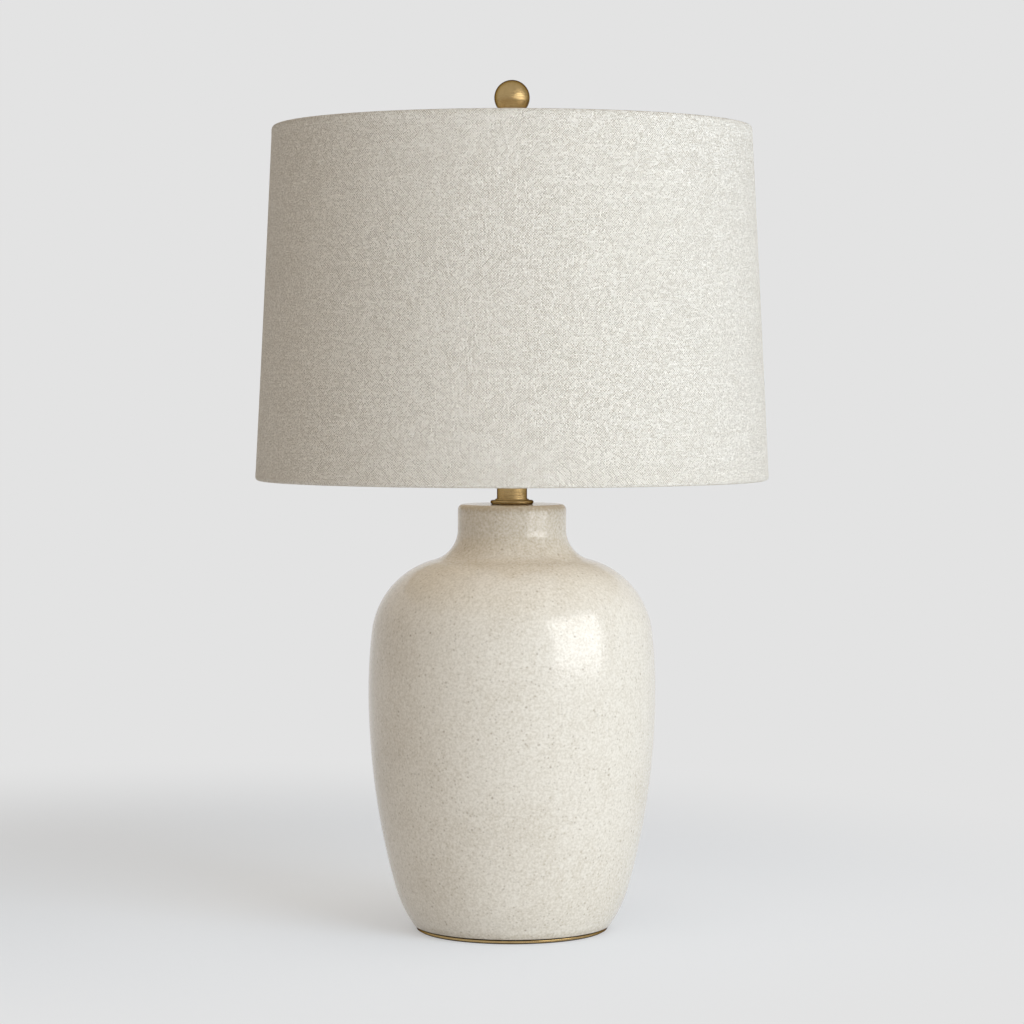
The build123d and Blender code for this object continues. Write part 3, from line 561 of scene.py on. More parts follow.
def build(name: str, surfaces: Sequence[Surface], finish: Finish, sharp: float = 40.0) -> bpy.types.Object:
    """Joins surfaces into one closed piece.

    Points that coincide, as at a pole, become one, and the faces are then turned to point outwards.

    Args:
        name: the piece's name.
        surfaces: the grids that it is made of.
        finish: what it is finished with.
        sharp: angle in degrees from which an edge is shaded sharp.

    Returns:
        The piece's object, at the origin.
    """
    starts = np.cumsum([0] + [surface.points.shape[0] * surface.points.shape[1] for surface in surfaces])
    made = [surface.faces(start) for surface, start in zip(surfaces, starts)]
    points = np.concatenate([surface.points.reshape(-1, 3) for surface in surfaces])
    quads = np.concatenate([quad for quad, _ in made])
    places = np.concatenate([place for _, place in made])
    mesh = bpy.data.meshes.new(name)
    mesh.from_pydata(points.tolist(), [], quads.tolist())
    if any(surface.cloth is not None for surface in surfaces):
        layer = mesh.uv_layers.new(name="cloth")
        layer.data.foreach_set("uv", places.astype(np.float32).ravel())
    work = bmesh.new()
    work.from_mesh(mesh)
    bmesh.ops.remove_doubles(work, verts=work.verts, dist=1e-7)
    bmesh.ops.dissolve_degenerate(work, edges=work.edges, dist=1e-8)
    bmesh.ops.recalc_face_normals(work, faces=work.faces)
    work.to_mesh(mesh)
    work.free()
    mesh.shade_smooth()
    mesh.set_sharp_from_angle(angle=math.radians(sharp))
    mesh.materials.append(finish.material())
    piece = bpy.data.objects.new(name, mesh)
    bpy.context.scene.collection.objects.link(piece)
    return piece


def attach(piece: bpy.types.Object, body: str, slot: str, *nodes: str) -> bpy.types.Object:
    """Puts a piece on its body in the place of CAD nodes and reports it.

    Args:
        piece: the new piece.
        body: the body that it rides on.
        slot: the record's material slot of the nodes; not used.
        nodes: the nodes that it stands for.

    Returns:
        The piece.
    """
    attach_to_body(piece, body)
    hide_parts(*nodes)
    log.info("%s: %d faces, rides on %s", piece.name, len(piece.data.polygons), body)
    return piece


def dress(finishes: dict[str, Finish]) -> None:
    """Gives CAD nodes their finishes.

    Args:
        finishes: the finish of each node, by the node's name.
    """
    for node, finish in finishes.items():
        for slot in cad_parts[node].material_slots:
            slot.material = finish.material()
        log.info("%s: keeps its shape, finish %s", node, finish.name)


def arc_between(start: Array, middle: Array, end: Array, steps: int) -> Array:
    """Points on an arc about middle, turning evenly from start to end, both included."""
    a, b = start - middle, end - middle
    turn = math.acos(float(np.clip(a @ b / np.linalg.norm(a) / np.linalg.norm(b), -1, 1)))
    share = np.linspace(0, 1, steps + 1)[:, None]
    return middle + (np.sin((1 - share) * turn) * a + np.sin(share * turn) * b) / math.sin(turn)


def rounded(corners: Sequence[Corner], closed: bool = True, steps: int = 6) -> Array:
    """An outline with rounded corners.

    At each corner the arc touches both sides: it starts rounding / tan(half the corner's angle) before the
    corner, and its middle lies on the bisector, rounding / sin(half the angle) away. A point is kept near
    each end of a side, so that flat sides shade flat.

    Args:
        corners: radius, height and rounding of each corner.
        closed: whether the last corner joins the first.
        steps: number of pieces in each arc.

    Returns:
        The outline's points, as rows of radius and height.
    """
    spots = np.array([corner[:2] for corner in corners], float)
    runs = []
    for index, (_, _, rounding) in enumerate(corners):
        here = spots[index]
        if not closed and index in (0, len(corners) - 1):
            runs.append(here[None])
            continue
        back, on = spots[index - 1] - here, spots[(index + 1) % len(corners)] - here
        back_unit, on_unit = back / np.linalg.norm(back), on / np.linalg.norm(on)
        half = math.acos(float(np.clip(back_unit @ on_unit, -1, 1))) / 2
        reach = rounding / math.tan(half)
        guard = min(0.1 * np.linalg.norm(back), 0.1 * np.linalg.norm(on), 0.3 * MM)
        arc = here[None]
        if rounding > 0:
            bisector = (back_unit + on_unit) / np.linalg.norm(back_unit + on_unit)
            middle = here + bisector * rounding / math.sin(half)
            arc = arc_between(here + back_unit * reach, middle, here + on_unit * reach, steps)
        runs += [(here + back_unit * (reach + guard))[None], arc, (here + on_unit * (reach + guard))[None]]
    return np.concatenate(runs)


def around(profile: Array, segments: int, closed: bool = True) -> Surface:
    """A turned surface: each point of the profile goes round the lamp's axis.

    Args:
        profile: rows of radius and height.
        segments: number of steps round the axis.
        closed: whether the profile closes on itself.

    Returns:
        The surface, one row for each point of the profile.
    """
    angle = np.linspace(0, TAU, segments, endpoint=False)
    radius, height = profile[:, :1], profile[:, 1:]
    points = np.stack([radius * np.cos(angle), radius * np.sin(angle), height + 0 * angle], axis=-1)
    return Surface(points, rows_close=closed)


def turn(
    name: str, node: str, slot: str, corners: Sequence[Corner], finish: Finish, segments: int,
    closed: bool = True, body: str = "lamp_body",
) -> None:
    """Turns a piece and puts it in the place of one CAD node.

    Args:
        name: the piece's name.
        node: the node that it stands for.
        slot: the record's material slot of the node; not used.
        corners: the corners of its outline, for rounded.
        finish: what it is finished with.
        segments: number of steps round the axis.
        closed: whether the outline closes on itself.
        body: the body that it rides on.
    """
    piece = build(name, [around(rounded(corners, closed), segments, closed)], finish)
    attach(piece, body, slot, node)


def band(inner: float, outer: float, low: float, high: float, soft: float) -> list[Corner]:
    """The corners of a ring of rectangular section, each with the same rounding."""
    return [(inner, low, soft), (outer, low, soft), (outer, high, soft), (inner, high, soft)]


# ---------------------------------------------------------------------------------------------------- jar
@dataclass
class Jar:
    """The glazed jar, and the thin plate that it stands on."""

    foot_radius: float = 78.1 * MM
    foot_lean: float = 35.2
    foot_round: float = 2.5 * MM
    heel_arc: float = 104.0 * MM
    widest_above_foot: float = 186.7 * MM
    shoulder_arc: float = 66.5 * MM
    shoulder_lean: float = 75.4
    neck_radius: float = 43.1 * MM
    neck_arc: float = 25.5 * MM
    neck_below_lip: float = 19.6 * MM
    lip_round: float = 4.5 * MM
    wall: float = 6.5 * MM
    top_thickness: float = 8.0 * MM
    top_hole: float = 5.6 * MM
    floor_above_foot: float = 30.0 * MM
    floor_thickness: float = 7.0 * MM
    floor_hole: float = 16.0 * MM
    inlet_above_foot: float = 14.0 * MM
    inlet_hole: float = 5.5 * MM
    inlet_clear: float = 16.0 * MM
    segments: int = 280
    spacing: float = 1.6 * MM
    inner_spacing: float = 9 * MM
    least_steps: int = 6
    foot_points: int = 5
    floor_clear: float = 4 * MM
    wave_depth: float = 0.16 * MM
    plate_hole: float = 15 * MM
    gasket_width: float = 6 * MM

    def __post_init__(self) -> None:
        """Reads the jar's foot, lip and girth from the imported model."""
        low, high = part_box("jar_body")
        self.foot = low.z
        self.lip = high.z
        self.widest_radius = high.x

    def knots(self) -> list[tuple[Array, Array]]:
        """The points where the outline's arcs meet, from foot to neck, each with its outward normal.

        A small arc and the larger arc that ends upright at the widest point touch where their middles are
        in line: with c the small arc's middle, r its radius and w the widest point, the larger radius is
        ((w - c) . (w - c) - r * r) / (2 * ((w - c).x - r)).

        Returns:
            Pairs of a point and a unit normal.
        """
        foot = np.array([self.foot_radius, self.foot])
        widest = np.array([self.widest_radius, self.foot + self.widest_above_foot])
        start = self.normal(self.foot_lean)
        turn = self.normal(-self.shoulder_lean)
        neck = np.array([self.neck_radius, self.lip - self.neck_below_lip])
        hollow = neck + self.neck_arc * (np.array([1.0, 0.0]) - turn)
        return [
            (foot, start),
            self.meeting(foot, start, self.heel_arc, widest),
            (widest, self.normal(0)),
            self.meeting(hollow, turn, self.shoulder_arc, widest),
            (hollow, turn),
            (neck, self.normal(0)),
        ]

    def normal(self, lean: float) -> Array:
        """The outline's outward normal where the wall leans out by lean degrees."""
        return np.array([math.cos(math.radians(lean)), -math.sin(math.radians(lean))])

    def meeting(self, end: Array, normal: Array, radius: float, widest: Array) -> tuple[Array, Array]:
        """Where a small arc through end meets the larger arc that ends upright at the widest point."""
        middle = end - normal * radius
        across = widest - middle
        larger = (across @ across - radius**2) / (2 * (across[0] - radius))
        line = middle - (widest - np.array([larger, 0.0]))
        unit = line / np.linalg.norm(line)
        return middle + unit * radius, unit

    def side(self, inset: float, spacing: float) -> Array:
        """The outline's arcs as points.

        From a point p with the unit normal n, an arc to q has its middle at
        p + n * ((q - p) . (q - p)) / (2 * (q - p) . n).

        Args:
            inset: how far in from the glaze they lie.
            spacing: largest distance between points.

        Returns:
            Points from foot to neck.
        """
        knots = [(point - normal * inset, normal) for point, normal in self.knots()]
        runs = []
        for (here, out), (there, _) in zip(knots, knots[1:]):
            chord = there - here
            middle = here + out * (chord @ chord) / (2 * (chord @ out))
            steps = max(self.least_steps, math.ceil(np.linalg.norm(chord) / spacing))
            runs.append(arc_between(here, middle, there, steps)[:-1])
        return np.concatenate([*runs, knots[-1][0][None]])

    def profile(self) -> Array:
        """The closed outline: up the glaze, over the lip and in, down the pipe hole, and back inside."""
        outside = self.side(0, self.spacing)
        inside = self.side(self.wall, self.inner_spacing)[::-1]
        floor_top = self.foot + self.floor_above_foot + self.floor_thickness
        floor_under = self.foot + self.floor_above_foot
        ceiling = self.lip - self.top_thickness
        lip = rounded(
            [
                (self.neck_radius, outside[-1, 1], 0),
                (self.neck_radius, self.lip, self.lip_round),
                (self.top_hole, self.lip, 0.8 * MM),
                (self.top_hole, ceiling, 0.4 * MM),
                (self.neck_radius - self.wall, ceiling, 3 * MM),
                (self.neck_radius - self.wall, inside[0, 1], 0),
            ],
            closed=False,
        )
        level = inside[:, 1]
        room = inside[level > floor_top + self.floor_clear]
        skirt = inside[(level < floor_under - self.floor_clear) & (level > self.foot + 1 * MM)]
        wall = np.interp([floor_top, floor_under], level[::-1], inside[::-1, 0])
        deck = rounded(
            [
                (*room[-1], 0),
                (wall[0], floor_top, 3 * MM),
                (self.floor_hole, floor_top, 0.6 * MM),
                (self.floor_hole, floor_under, 0.6 * MM),
                (wall[1], floor_under, 3 * MM),
                (*skirt[0], 0),
            ],
            closed=False,
        )
        foot_inside = self.foot_radius - self.wall / math.cos(math.radians(self.foot_lean))
        foot = rounded(
            [
                (*skirt[-1], 0),
                (foot_inside, self.foot, 1 * MM),
                (self.foot_radius, self.foot, self.foot_round),
                (*outside[self.foot_points - 1], 0),
            ],
            closed=False,
        )
        glaze = outside[self.foot_points : -1]
        return np.concatenate([glaze, lip, room[1:-1], deck, skirt[1:-1], foot])

    def inlet(self) -> tuple[Array, Array]:
        """The middle of the cord inlet on the glaze at the back, and the way that it faces."""
        foot, normal = self.knots()[0]
        middle = foot - normal * self.heel_arc
        rise = (self.foot + self.inlet_above_foot - middle[1]) / self.heel_arc
        across = math.sqrt(1 - rise**2)
        spot = middle + np.array([across, rise]) * self.heel_arc
        return np.array([0.0, spot[0], spot[1]]), np.array([0.0, across, rise])

    def wave(self, points: Array) -> Array:
        """Unevenness of the thrown and glazed wall, always inwards.

        It is the mean of products of a sine round the jar and a sine up it, from 0 to wave_depth, and fades
        out at the lip, the foot and round the cord inlet, where other pieces fit.

        Args:
            points: the jar's points.

        Returns:
            How far each point moves in.
        """
        angle = np.arctan2(points[..., 1], points[..., 0])
        height = points[..., 2]
        waves = [(2, 190, 0.4), (3, 120, 1.9), (5, 74, 4.1), (7, 46, 0.9), (11, 31, 2.7), (16, 23, 5.2)]
        total = sum(
            np.sin(turns * angle + shift) * np.sin(TAU * height / (length * MM) + 2 * shift)
            for turns, length, shift in waves
        )
        depth = self.wave_depth * (0.5 + total / (2 * len(waves)))
        ends = np.clip((self.lip - 8 * MM - height) / (12 * MM), 0, 1)
        ends = ends * np.clip((height - self.foot - 4 * MM) / (12 * MM), 0, 1)
        away = np.linalg.norm(points - self.inlet()[0], axis=-1)
        return depth * ends * np.clip(away / self.inlet_clear - 1, 0, 1)

    def body(self) -> bpy.types.Object:
        """The jar's mesh, with its cord inlet cut out."""
        surface = around(self.profile(), self.segments)
        points = surface.points
        radius = np.linalg.norm(points[..., :2], axis=-1, keepdims=True)
        glazed_rows = len(self.side(0, self.spacing)) - self.foot_points - 1
        outside = np.arange(len(points))[:, None] < glazed_rows
        points[..., :2] *= 1 - (self.wave(points) * outside)[..., None] / radius
        jar = build("jar_glazed", [surface], CREAM_GLAZE)
        self.cut_inlet(jar)
        return jar

    def cut_inlet(self, jar: bpy.types.Object) -> None:
        """Cuts the round hole for the cord's bush through the wall."""
        spot, facing = self.inlet()
        side = np.array([1.0, 0.0, 0.0])
        up = np.cross(facing, side)
        angle = np.linspace(0, TAU, 48, endpoint=False)[:, None]
        ring = (np.cos(angle) * side + np.sin(angle) * up) * self.inlet_hole
        reach = 3 * self.wall
        ends = ((0, -reach), (1, -reach), (1, reach), (0, reach))
        rows = [ring * size + facing * along for size, along in ends]
        cutter = build("inlet_cutter", [Surface(np.stack(rows) + spot)], RUBBER)
        cut = jar.modifiers.new("inlet", "BOOLEAN")
        cut.operation = "DIFFERENCE"
        cut.solver = "EXACT"
        cut.object = cutter
        bpy.context.view_layer.update()
        shaped = bpy.data.meshes.new_from_object(jar.evaluated_get(bpy.context.evaluated_depsgraph_get()))
        jar.modifiers.clear()
        jar.data = shaped
        bpy.data.objects.remove(cutter)

    def make(self) -> None:
        """Builds the jar, the plate, the gasket and the felt under them."""
        attach(self.body(), "lamp_body", "cream_glaze", "jar_body")
        low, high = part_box("base_plate")
        section = band(self.plate_hole, high.x, low.z, high.z, 0.6 * MM)
        turn("rim_plate", "base_plate", "antique_brass", section, ANTIQUE_BRASS, 256)
        low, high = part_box("base_gasket")
        section = band(high.x - self.gasket_width, high.x, low.z, high.z, 0.15 * MM)
        turn("gasket_ring", "base_gasket", "rubber_black", section, RUBBER, 256)
        low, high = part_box("felt_pad")
        section = [(0, low.z, 0), (high.x, low.z, 0.3 * MM), (high.x, high.z, 0.15 * MM), (0, high.z, 0)]
        turn("felt_disc", "felt_pad", "felt_dark", section, FELT, 256, closed=False)


# --------------------------------------------------------------------------------------------------- neck
@dataclass
class Neck:
    """The brass between jar and harp."""

    ring_recess: float = 0.8 * MM
    tube_wall: float = 0.8 * MM
    pipe_hole: float = 4.93 * MM
    collar: float = 1.0 * MM
    fit: float = 0.08 * MM
    soft: float = 0.15 * MM

    def make(self) -> None:
        """Builds the check ring with its rounded edge, the neck tube and the cap on it."""
        ring_low, ring_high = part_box("check_ring")
        tube_low, tube_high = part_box("neck_tube")
        low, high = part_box("neck_cap")
        seat = tube_high.x + self.fit
        edge = (ring_high.z - ring_low.z - self.collar) / 2
        shoulder = ring_low.z + 2 * edge
        recess = ring_high.z - self.ring_recess
        ring = [
            (self.pipe_hole, ring_low.z, 0.2 * MM),
            (ring_high.x, ring_low.z, edge * 0.98),
            (ring_high.x, shoulder, edge * 0.98),
            (seat + 1.3 * MM, shoulder, 0.15 * MM),
            (seat + 1.1 * MM, ring_high.z, 0.35 * MM),
            (seat, ring_high.z, 0.1 * MM),
            (seat, recess, 0.05 * MM),
            (self.pipe_hole, recess, 0.2 * MM),
        ]
        turn("rounded_check_ring", "check_ring", "antique_brass", ring, ANTIQUE_BRASS, 128)
        inner = tube_high.x - self.tube_wall
        tube = band(inner, tube_high.x, tube_low.z, tube_high.z, self.soft)
        turn("spun_neck_tube", "neck_tube", "antique_brass", tube, ANTIQUE_BRASS, 128)
        cap = [
            (self.pipe_hole, low.z, self.soft),
            (inner - self.fit, low.z, self.soft),
            (inner - self.fit, tube_high.z, self.soft / 2),
            (high.x, tube_high.z, 0.5 * MM),
            (high.x, high.z, 0.5 * MM),
            (self.pipe_hole, high.z, self.soft),
        ]
        turn("turned_neck_cap", "neck_cap", "antique_brass", cap, ANTIQUE_BRASS, 96)


# ------------------------------------------------------------------------------------------------- finial
@dataclass
class Finial:
    """The ball finial and its turned foot."""

    seat_radius: float = 6.0 * MM
    spigot_radius: float = 3.4 * MM
    spigot_length: float = 8.0 * MM
    bore_radius: float = 3.18 * MM
    bore_depth: float = 14.0 * MM
    fit: float = 0.08 * MM
    waist_radius: float = 4.7 * MM
    segments: int = 128

    def make(self) -> None:
        """Builds the ball, bored for its spigot, and the foot with its waist and cup."""
        low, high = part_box("finial_ball")
        radius = high.x
        middle = high.z - radius
        bore = self.spigot_radius + self.fit
        start = math.asin((low.z - middle) / radius)
        angle = np.linspace(start, math.pi / 2, 72)
        dome = np.stack([radius * np.cos(angle), middle + radius * np.sin(angle)], 1)
        dome[-1, 0] = 0
        depth = low.z + self.spigot_length
        inside = np.array([(0, depth), (bore, depth), (bore, low.z)])
        outline = np.concatenate([inside, dome])
        ball = build("brass_ball", [around(outline, self.segments, False)], ANTIQUE_BRASS)
        attach(ball, "finial", "antique_brass", "finial_ball")
        foot_low, foot_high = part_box("finial_base")
        seat = low.z
        bore_end = foot_low.z + self.bore_depth
        foot = [
            (0, bore_end, 0),
            (self.bore_radius, bore_end, 0.4 * MM),
            (self.bore_radius, foot_low.z, 0.3 * MM),
            (foot_high.x, foot_low.z, 0.4 * MM),
            (foot_high.x, foot_low.z + 2 * MM, 0.8 * MM),
            (self.waist_radius, foot_low.z + 5 * MM, 2.4 * MM),
            (self.waist_radius, seat - 3 * MM, 1.6 * MM),
            (self.seat_radius, seat - 1 * MM, 0.4 * MM),
            (self.seat_radius, seat, 0.2 * MM),
            (self.spigot_radius, seat, 0.1 * MM),
            (self.spigot_radius, foot_high.z, 0.4 * MM),
            (0, foot_high.z, 0),
        ]
        turn(
            "finial_foot", "finial_base", "antique_brass", foot, ANTIQUE_BRASS, 96,
            closed=False, body="finial",
        )


# -------------------------------------------------------------------------------------------------- shade
@dataclass
class DrumShade:
    """The tapered drum: linen rolled over two wires, on a stiff white liner."""

    cloth: float = 0.6 * MM
    liner: float = 0.5 * MM
    wire: float = 1.5 * MM
    wire_gap: float = 0.12 * MM
    hem_width: float = 6.5 * MM
    hem_step: float = 0.10 * MM
    turn_in: float = 9.0 * MM
    lap_width: float = 11.0 * MM
    lap_step: float = 0.55 * MM
    sway: float = 0.45 * MM
    first_turn: float = 180.0
    last_turn: float = -48.0
    liner_rows: int = 24
    segments: int = 360

    def __post_init__(self) -> None:
        """Reads the drum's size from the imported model."""
        low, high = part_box("shade_fabric")
        self.low = low.z
        self.high = high.z
        self.bottom_radius = high.x
        self.top_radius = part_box("shade_top_ring")[1].x + self.cloth + self.liner
        self.roll = self.wire + self.cloth + self.liner
        rise = self.high - self.low
        self.slant = math.hypot(self.bottom_radius - self.top_radius, rise)
        self.up = np.array([self.top_radius - self.bottom_radius, rise]) / self.slant
        self.inward = np.array([-self.up[1], self.up[0]])

    def on_wall(self, inset: Array, height: Array) -> Array:
        """Radius and height of places on the wall.

        Args:
            inset: distance in from the linen's face.
            height: distance up the slant from the bottom edge.

        Returns:
            Rows of radius and height.
        """
        start = np.array([self.bottom_radius, self.low])
        return start + np.outer(inset, self.inward) + np.outer(height, self.up)

    def edge(self) -> tuple[Array, Array]:
        """The linen's outline at one edge, from its face round the wire to its back.

        The roll is an arc about the wire, from first_turn to last_turn in degrees. Inside the drum the
        turned-in end then lies on the liner.

        Returns:
            Inset and distance from the edge of each point.
        """
        outer_turn = np.radians(np.linspace(self.first_turn, self.last_turn, 22))
        inner_turn = np.radians(np.linspace(self.last_turn, self.first_turn, 18))
        small = self.wire + self.wire_gap
        back = self.cloth + self.liner
        inset = [
            [0, 0],
            self.roll + self.roll * np.cos(outer_turn),
            [back + rise * MM for rise in (1.2, 0.62, 0.45, 0.45, 0.3, 0, 0)],
            self.roll + small * np.cos(inner_turn),
            [self.cloth],
        ]
        down = [
            [self.hem_width, self.hem_width * 0.5],
            self.roll - self.roll * np.sin(outer_turn),
            [5.1 * MM, 5.9 * MM, 6.6 * MM],
            [self.turn_in - 0.2 * MM, self.turn_in, self.turn_in, 5.6 * MM],
            self.roll - small * np.sin(inner_turn),
            [self.roll],
        ]
        return np.concatenate(inset), np.concatenate(down)

    def outline(self) -> tuple[Array, Array]:
        """The closed outline of the linen.

        Returns:
            Rows of radius and height, and the distance along the cloth of each, for the weave.
        """
        inset, down = self.edge()
        margin = self.hem_width + 0.4 * MM
        face = np.linspace(margin, self.slant - margin, 40)
        hidden = np.linspace(self.slant - self.roll, self.roll, 12)[1:-1]
        insets = np.concatenate([inset, np.full(len(hidden), self.cloth), inset[::-1], 0 * face])
        heights = np.concatenate([self.slant - down, hidden, down[::-1], face])
        hem = self.hem_width + 0.1 * MM
        proud = (heights > self.slant - hem) | (heights < hem)
        insets = insets - self.hem_step * (proud & (insets < 0.01 * MM))
        rows = self.on_wall(insets, heights)
        steps = np.linalg.norm(np.diff(rows, axis=0, append=rows[:1]), axis=1)
        return rows, np.concatenate([[0], np.cumsum(steps)])

    def linen(self) -> bpy.types.Object:
        """The linen's mesh: the outline round the axis, with the lap at the back and a slight sway.

        The lap is a step outwards over lap_width of arc, with a sharp edge to one side and a slope to the
        other. The sway is a sum of sines round the drum that moves the wall in and out.

        Returns:
            The piece.
        """
        rows, along = self.outline()
        share = self.columns()
        angle = TAU * share + math.pi / 2
        arc = np.minimum(share, 1 - share) * TAU * self.bottom_radius
        lap = self.lap_step * np.clip(1.5 - arc / (self.lap_width / 2) * 1.5, 0, 1) * (share > 0.5)
        lap = np.maximum(lap, self.lap_step * (arc < self.lap_width / 2) * (share <= 0.5))
        waves = np.sin(3 * angle + 0.6) + 0.6 * np.sin(5 * angle + 2.2) + 0.4 * np.sin(9 * angle)
        sway = self.sway * waves / 2
        lift = (rows[:, 1:] - self.low) / (self.high - self.low)
        mid = 4 * lift * (1 - lift)
        radius = rows[:, :1] + lap * self.is_face(rows)[:, None] + sway * mid
        height = rows[:, 1:] + 0 * angle
        points = np.stack([radius * np.cos(angle), radius * np.sin(angle), height], axis=-1)
        across = np.append(share, 1.0) * TAU * (self.bottom_radius + self.top_radius) / 2
        cloth = np.stack(np.broadcast_arrays(across[None], along[:, None]), axis=-1)
        return build("linen_drum", [Surface(points, True, True, cloth)], LINEN)

    def columns(self) -> Array:
        """Shares of a turn from the lap round, closer together at the lap's two edges."""
        even = np.linspace(0, 1, self.segments, endpoint=False)
        lap = self.lap_width / 2 / (TAU * self.bottom_radius)
        extra = np.array([lap * 0.98, lap * 1.02, 1 - lap * 1.02, 1 - lap * 0.34])
        return np.unique(np.concatenate([even, extra]))

    def is_face(self, rows: Array) -> Array:
        """1 for points on the linen's face and rolls, 0 for those that lie on the wires or the liner."""
        away = (rows - self.on_wall(np.zeros(1), np.zeros(1))) @ self.inward
        return (away < self.cloth * 0.5).astype(float)

    def cut_sector(self) -> tuple[float, float]:
        """The flat cut of the tapered drum is a part of a ring: its outer radius and half its angle."""
        outer = self.bottom_radius * self.slant / (self.bottom_radius - self.top_radius)
        return outer, math.pi * self.bottom_radius / outer

    def past_edge(self) -> float:
        """Length of linen past the drum's edge: round the wire and down to the end of the turned-in part."""
        arc = math.radians(self.first_turn - self.last_turn) * self.roll
        return arc + self.turn_in - self.roll * (2 - math.sin(math.radians(self.last_turn)))

    def cut(self) -> tuple[float, float]:
        """Width and height of the flat linen, with the turns round both wires and the lap of its seam."""
        outer, half = self.cut_sector()
        rise = outer - (outer - self.slant) * math.cos(half)
        return 2 * outer * math.sin(half) + self.lap_width, rise + 2 * self.past_edge()

    def cut_area(self) -> float:
        """Area of the flat linen."""
        length = math.pi * (self.bottom_radius + self.top_radius)
        return (length + self.lap_width) * (self.slant + 2 * self.past_edge())

    def make(self) -> None:
        """Builds the linen and its liner."""
        linen = attach(self.linen(), "shade", "linen", "shade_fabric")
        self.cut()
        self.cut_area()
        heights = np.linspace(self.roll, self.slant - self.roll, self.liner_rows)
        outer = self.on_wall(np.full(self.liner_rows, self.cloth), heights)
        inner = self.on_wall(np.full(self.liner_rows, self.cloth + self.liner), heights[::-1])
        outline = np.concatenate([outer, inner])
        liner = build("styrene_liner", [around(outline, self.segments)], STYRENE)
        attach(liner, "shade", "liner_white", "shade_liner")


# ------------------------------------------------------------------------------------------------- studio
class Lights(Enum):
    """What a light panel adds."""

    SHINE = "shine"
    BODY = "body"


@dataclass(frozen=True)
class Panel:
    """A soft light panel: degrees round from the front towards +X and above its aim, metres and watts."""

    name: str
    bearing: float
    rise: float
    distance: float
    size: tuple[float, float]
    power: float
    lights: Lights
    aim: float
    colour: Colour

    def hang(self) -> None:
        """Puts the light up, facing the point on the lamp's axis that it is aimed at."""
        data = bpy.data.lights.new(self.name, "AREA")
        data.shape = "RECTANGLE"
        data.size, data.size_y = self.size
        data.energy = self.power
        data.color = self.colour
        light = bpy.data.objects.new(self.name, data)
        rise = math.radians(self.rise)
        flat = self.distance * math.cos(rise)
        turn = math.radians(self.bearing)
        up = self.aim + self.distance * math.sin(rise)
        place = Vector((flat * math.sin(turn), -flat * math.cos(turn), up))
        light.location = place
        facing = Vector((0, 0, self.aim)) - place
        light.rotation_euler = facing.to_track_quat("-Z", "Y").to_euler()
        light.visible_glossy = self.lights is Lights.SHINE
        light.visible_diffuse = self.lights is Lights.BODY
        bpy.context.scene.collection.objects.link(light)


WHITE: Colour = (1.0, 1.0, 1.0)
WARM: Colour = (1.0, 0.95, 0.89)
COOL: Colour = (0.72, 0.85, 1.0)
PANELS = (
    Panel("window", 55, 17.9, 1.6, (1.29, 1.01), 14.5, Lights.SHINE, 0.23, WHITE),
    Panel("key", 40, 22, 3.2, (1.8, 1.6), 44.0, Lights.BODY, 0.30, COOL),
    Panel("side", 52, 3, 3.2, (3.2, 1.0), 68.0, Lights.BODY, 0.30, COOL),
    Panel("fill", 0, 5, 3.0, (3.0, 1.4), 9.0, Lights.BODY, 0.30, WARM),
)


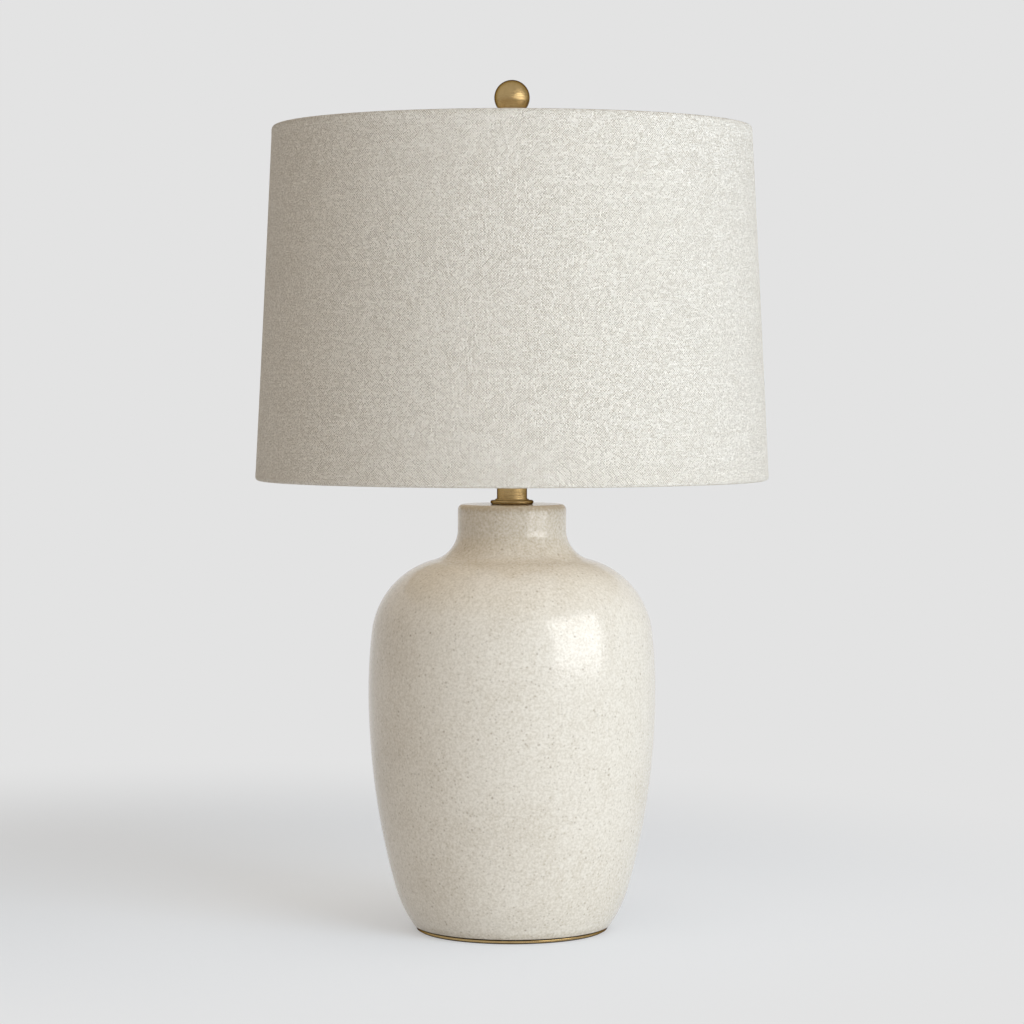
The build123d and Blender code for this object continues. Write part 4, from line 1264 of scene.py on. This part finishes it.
@dataclass
class Studio:
    """Camera, floor, backdrop and lights."""

    grey: Colour = (0.768, 0.768, 0.768)
    floor_colour: Colour = (0.935, 0.965, 1.0)
    camera_distance: float = 2.6
    camera_height: float = 0.4397
    aim_height: float = 0.3323
    lens: float = 115.3
    floor_half: float = 6.0
    floor_near: float = 0.25
    floor_far: float = 0.88
    floor_middle: tuple[float, float] = (-0.25, 0.30)
    shadow_share: float = 0.62
    glow_width: float = 0.30
    glow_height: float = 0.60
    glow_power: float = 0.30
    glow_colour: Colour = (1.0, 0.87, 0.70)
    ambient: float = 0.52

    def camera(self) -> None:
        """The camera at the photograph's height and distance."""
        data = bpy.data.cameras.new("camera")
        data.lens = self.lens
        data.clip_end = 50
        camera = bpy.data.objects.new("camera", data)
        camera.location = (0, -self.camera_distance, self.camera_height)
        aim = Vector((0, 0, self.aim_height)) - camera.location
        camera.rotation_euler = aim.to_track_quat("-Z", "Y").to_euler()
        bpy.context.scene.collection.objects.link(camera)
        bpy.context.scene.camera = camera

    def seen(self, graph: Graph) -> Val:
        """1 for rays that show the backdrop: from the camera, or mirrored or let through by a piece."""
        path = graph.node("ShaderNodeLightPath", {}, {}, "Is Camera Ray")
        outputs = path.socket.node.outputs
        glossy = Val(graph, outputs["Is Glossy Ray"])
        through = Val(graph, outputs["Is Transmission Ray"])
        return (path + glossy + through).at_most(1.0)

    def floor(self) -> None:
        """A pale floor that takes the lamp's shadow and turns into the plain backdrop further out."""
        half = self.floor_half
        mesh = bpy.data.meshes.new("floor")
        corners = [(-half, -half, 0), (half, -half, 0), (half, half, 0), (-half, half, 0)]
        mesh.from_pydata(corners, [], [(0, 1, 2, 3)])
        graph = PaintGraph("floor")
        x, y, _ = graph.parts(graph.place())
        x, y = x - self.floor_middle[0], y - self.floor_middle[1]
        away = ((x * x + y * y) ** 0.5).step(self.floor_near, self.floor_far)
        plain = graph.node("ShaderNodeEmission", {}, {"Color": self.grey, "Strength": 1.0})
        grain = graph.noise(graph.place(), 0.03, 3.0)
        graph.bump(grain, 0.1 * MM, 0.2)
        graph.finish(Base_Color=self.floor_colour, Roughness=0.85, Specular_IOR_Level=0.15)
        surface = Val(graph, graph.shader.outputs[0])
        plain_share = (1 - self.shadow_share * (1 - away)) * self.seen(graph)
        blend = graph.node("ShaderNodeMixShader", {}, {0: plain_share, 1: surface, 2: plain})
        graph.connect(graph.output, "Surface", blend)
        mesh.materials.append(graph.material)
        floor = bpy.data.objects.new("floor", mesh)
        bpy.context.scene.collection.objects.link(floor)

    def world(self) -> None:
        """Even light from all round, behind a backdrop of the photograph's grey."""
        world = bpy.data.worlds.new("studio")
        bpy.context.scene.world = world
        world.use_nodes = True
        graph = Graph(world.node_tree)
        shown = graph.node("ShaderNodeBackground", {}, {"Color": self.grey})
        lit = graph.node("ShaderNodeBackground", {}, {"Color": WARM, "Strength": self.ambient})
        blend = graph.node("ShaderNodeMixShader", {}, {0: self.seen(graph), 1: lit, 2: shown})
        output = graph.tree.nodes.new("ShaderNodeOutputWorld")
        graph.connect(output, "Surface", blend)

    def glow(self) -> None:
        """The light that comes through the linen and falls out of the shade on the jar's shoulder."""
        data = bpy.data.lights.new("glow", "AREA")
        data.shape = "DISK"
        data.size = self.glow_width
        data.energy = self.glow_power
        data.color = self.glow_colour
        light = bpy.data.objects.new("glow", data)
        light.location = (0, 0, self.glow_height)
        light.visible_glossy = False
        light.visible_camera = False
        bpy.context.scene.collection.objects.link(light)

    def make(self) -> None:
        """Sets up camera, floor, world and lights."""
        self.camera()
        self.floor()
        self.world()
        for panel in PANELS:
            panel.hang()
        self.glow()
        bpy.context.scene.view_settings.view_transform = "Standard"


def bare_nodes() -> dict[str, Finish]:
    """The finishes of the CAD nodes that show as they are."""
    zinc = ["foot_washer", "foot_lock_washer", "foot_nut", "threaded_pipe", "cap_set_screw"]
    plated = ["harp_saddle", "saddle_nut", "harp_wire", "harp_stud", "harp_ferrule_front"]
    plated += ["harp_ferrule_back", "spider_hub", "spider_arms"]
    spun = ["socket_cap", "socket_shell", "centre_contact", "terminal_screw_live", "switch_stem"]
    groups = [
        (zinc, ZINC),
        (plated, BRASS_PLATE),
        (spun, SPUN_BRASS),
        (["terminal_screw_neutral", "screw_shell"], NICKEL),
        (["socket_insulator", "switch_rotor"], MOULDED),
        (["socket_sleeve"], CARD),
        (["switch_knob"], KNOB_BLACK),
        (["bulb_contact"], SOLDER),
        (["bulb_insulator"], BLACK_GLASS),
        (["bulb_screw_base"], ALUMINIUM),
        (["bulb_globe"], GLASS),
        (["shade_top_ring", "shade_bottom_ring"], ENAMEL),
        (["cord_grommet"], RUBBER),
    ]
    return {node: finish for nodes, finish in groups for node in nodes}


def main() -> None:
    """Builds the studio and every piece."""
    logging.basicConfig(level=logging.INFO, format="%(name)s: %(message)s")
    Studio().make()
    Jar().make()
    Neck().make()
    Finial().make()
    DrumShade().make()
    dress(bare_nodes())


if __name__ == "__main__":
    main()
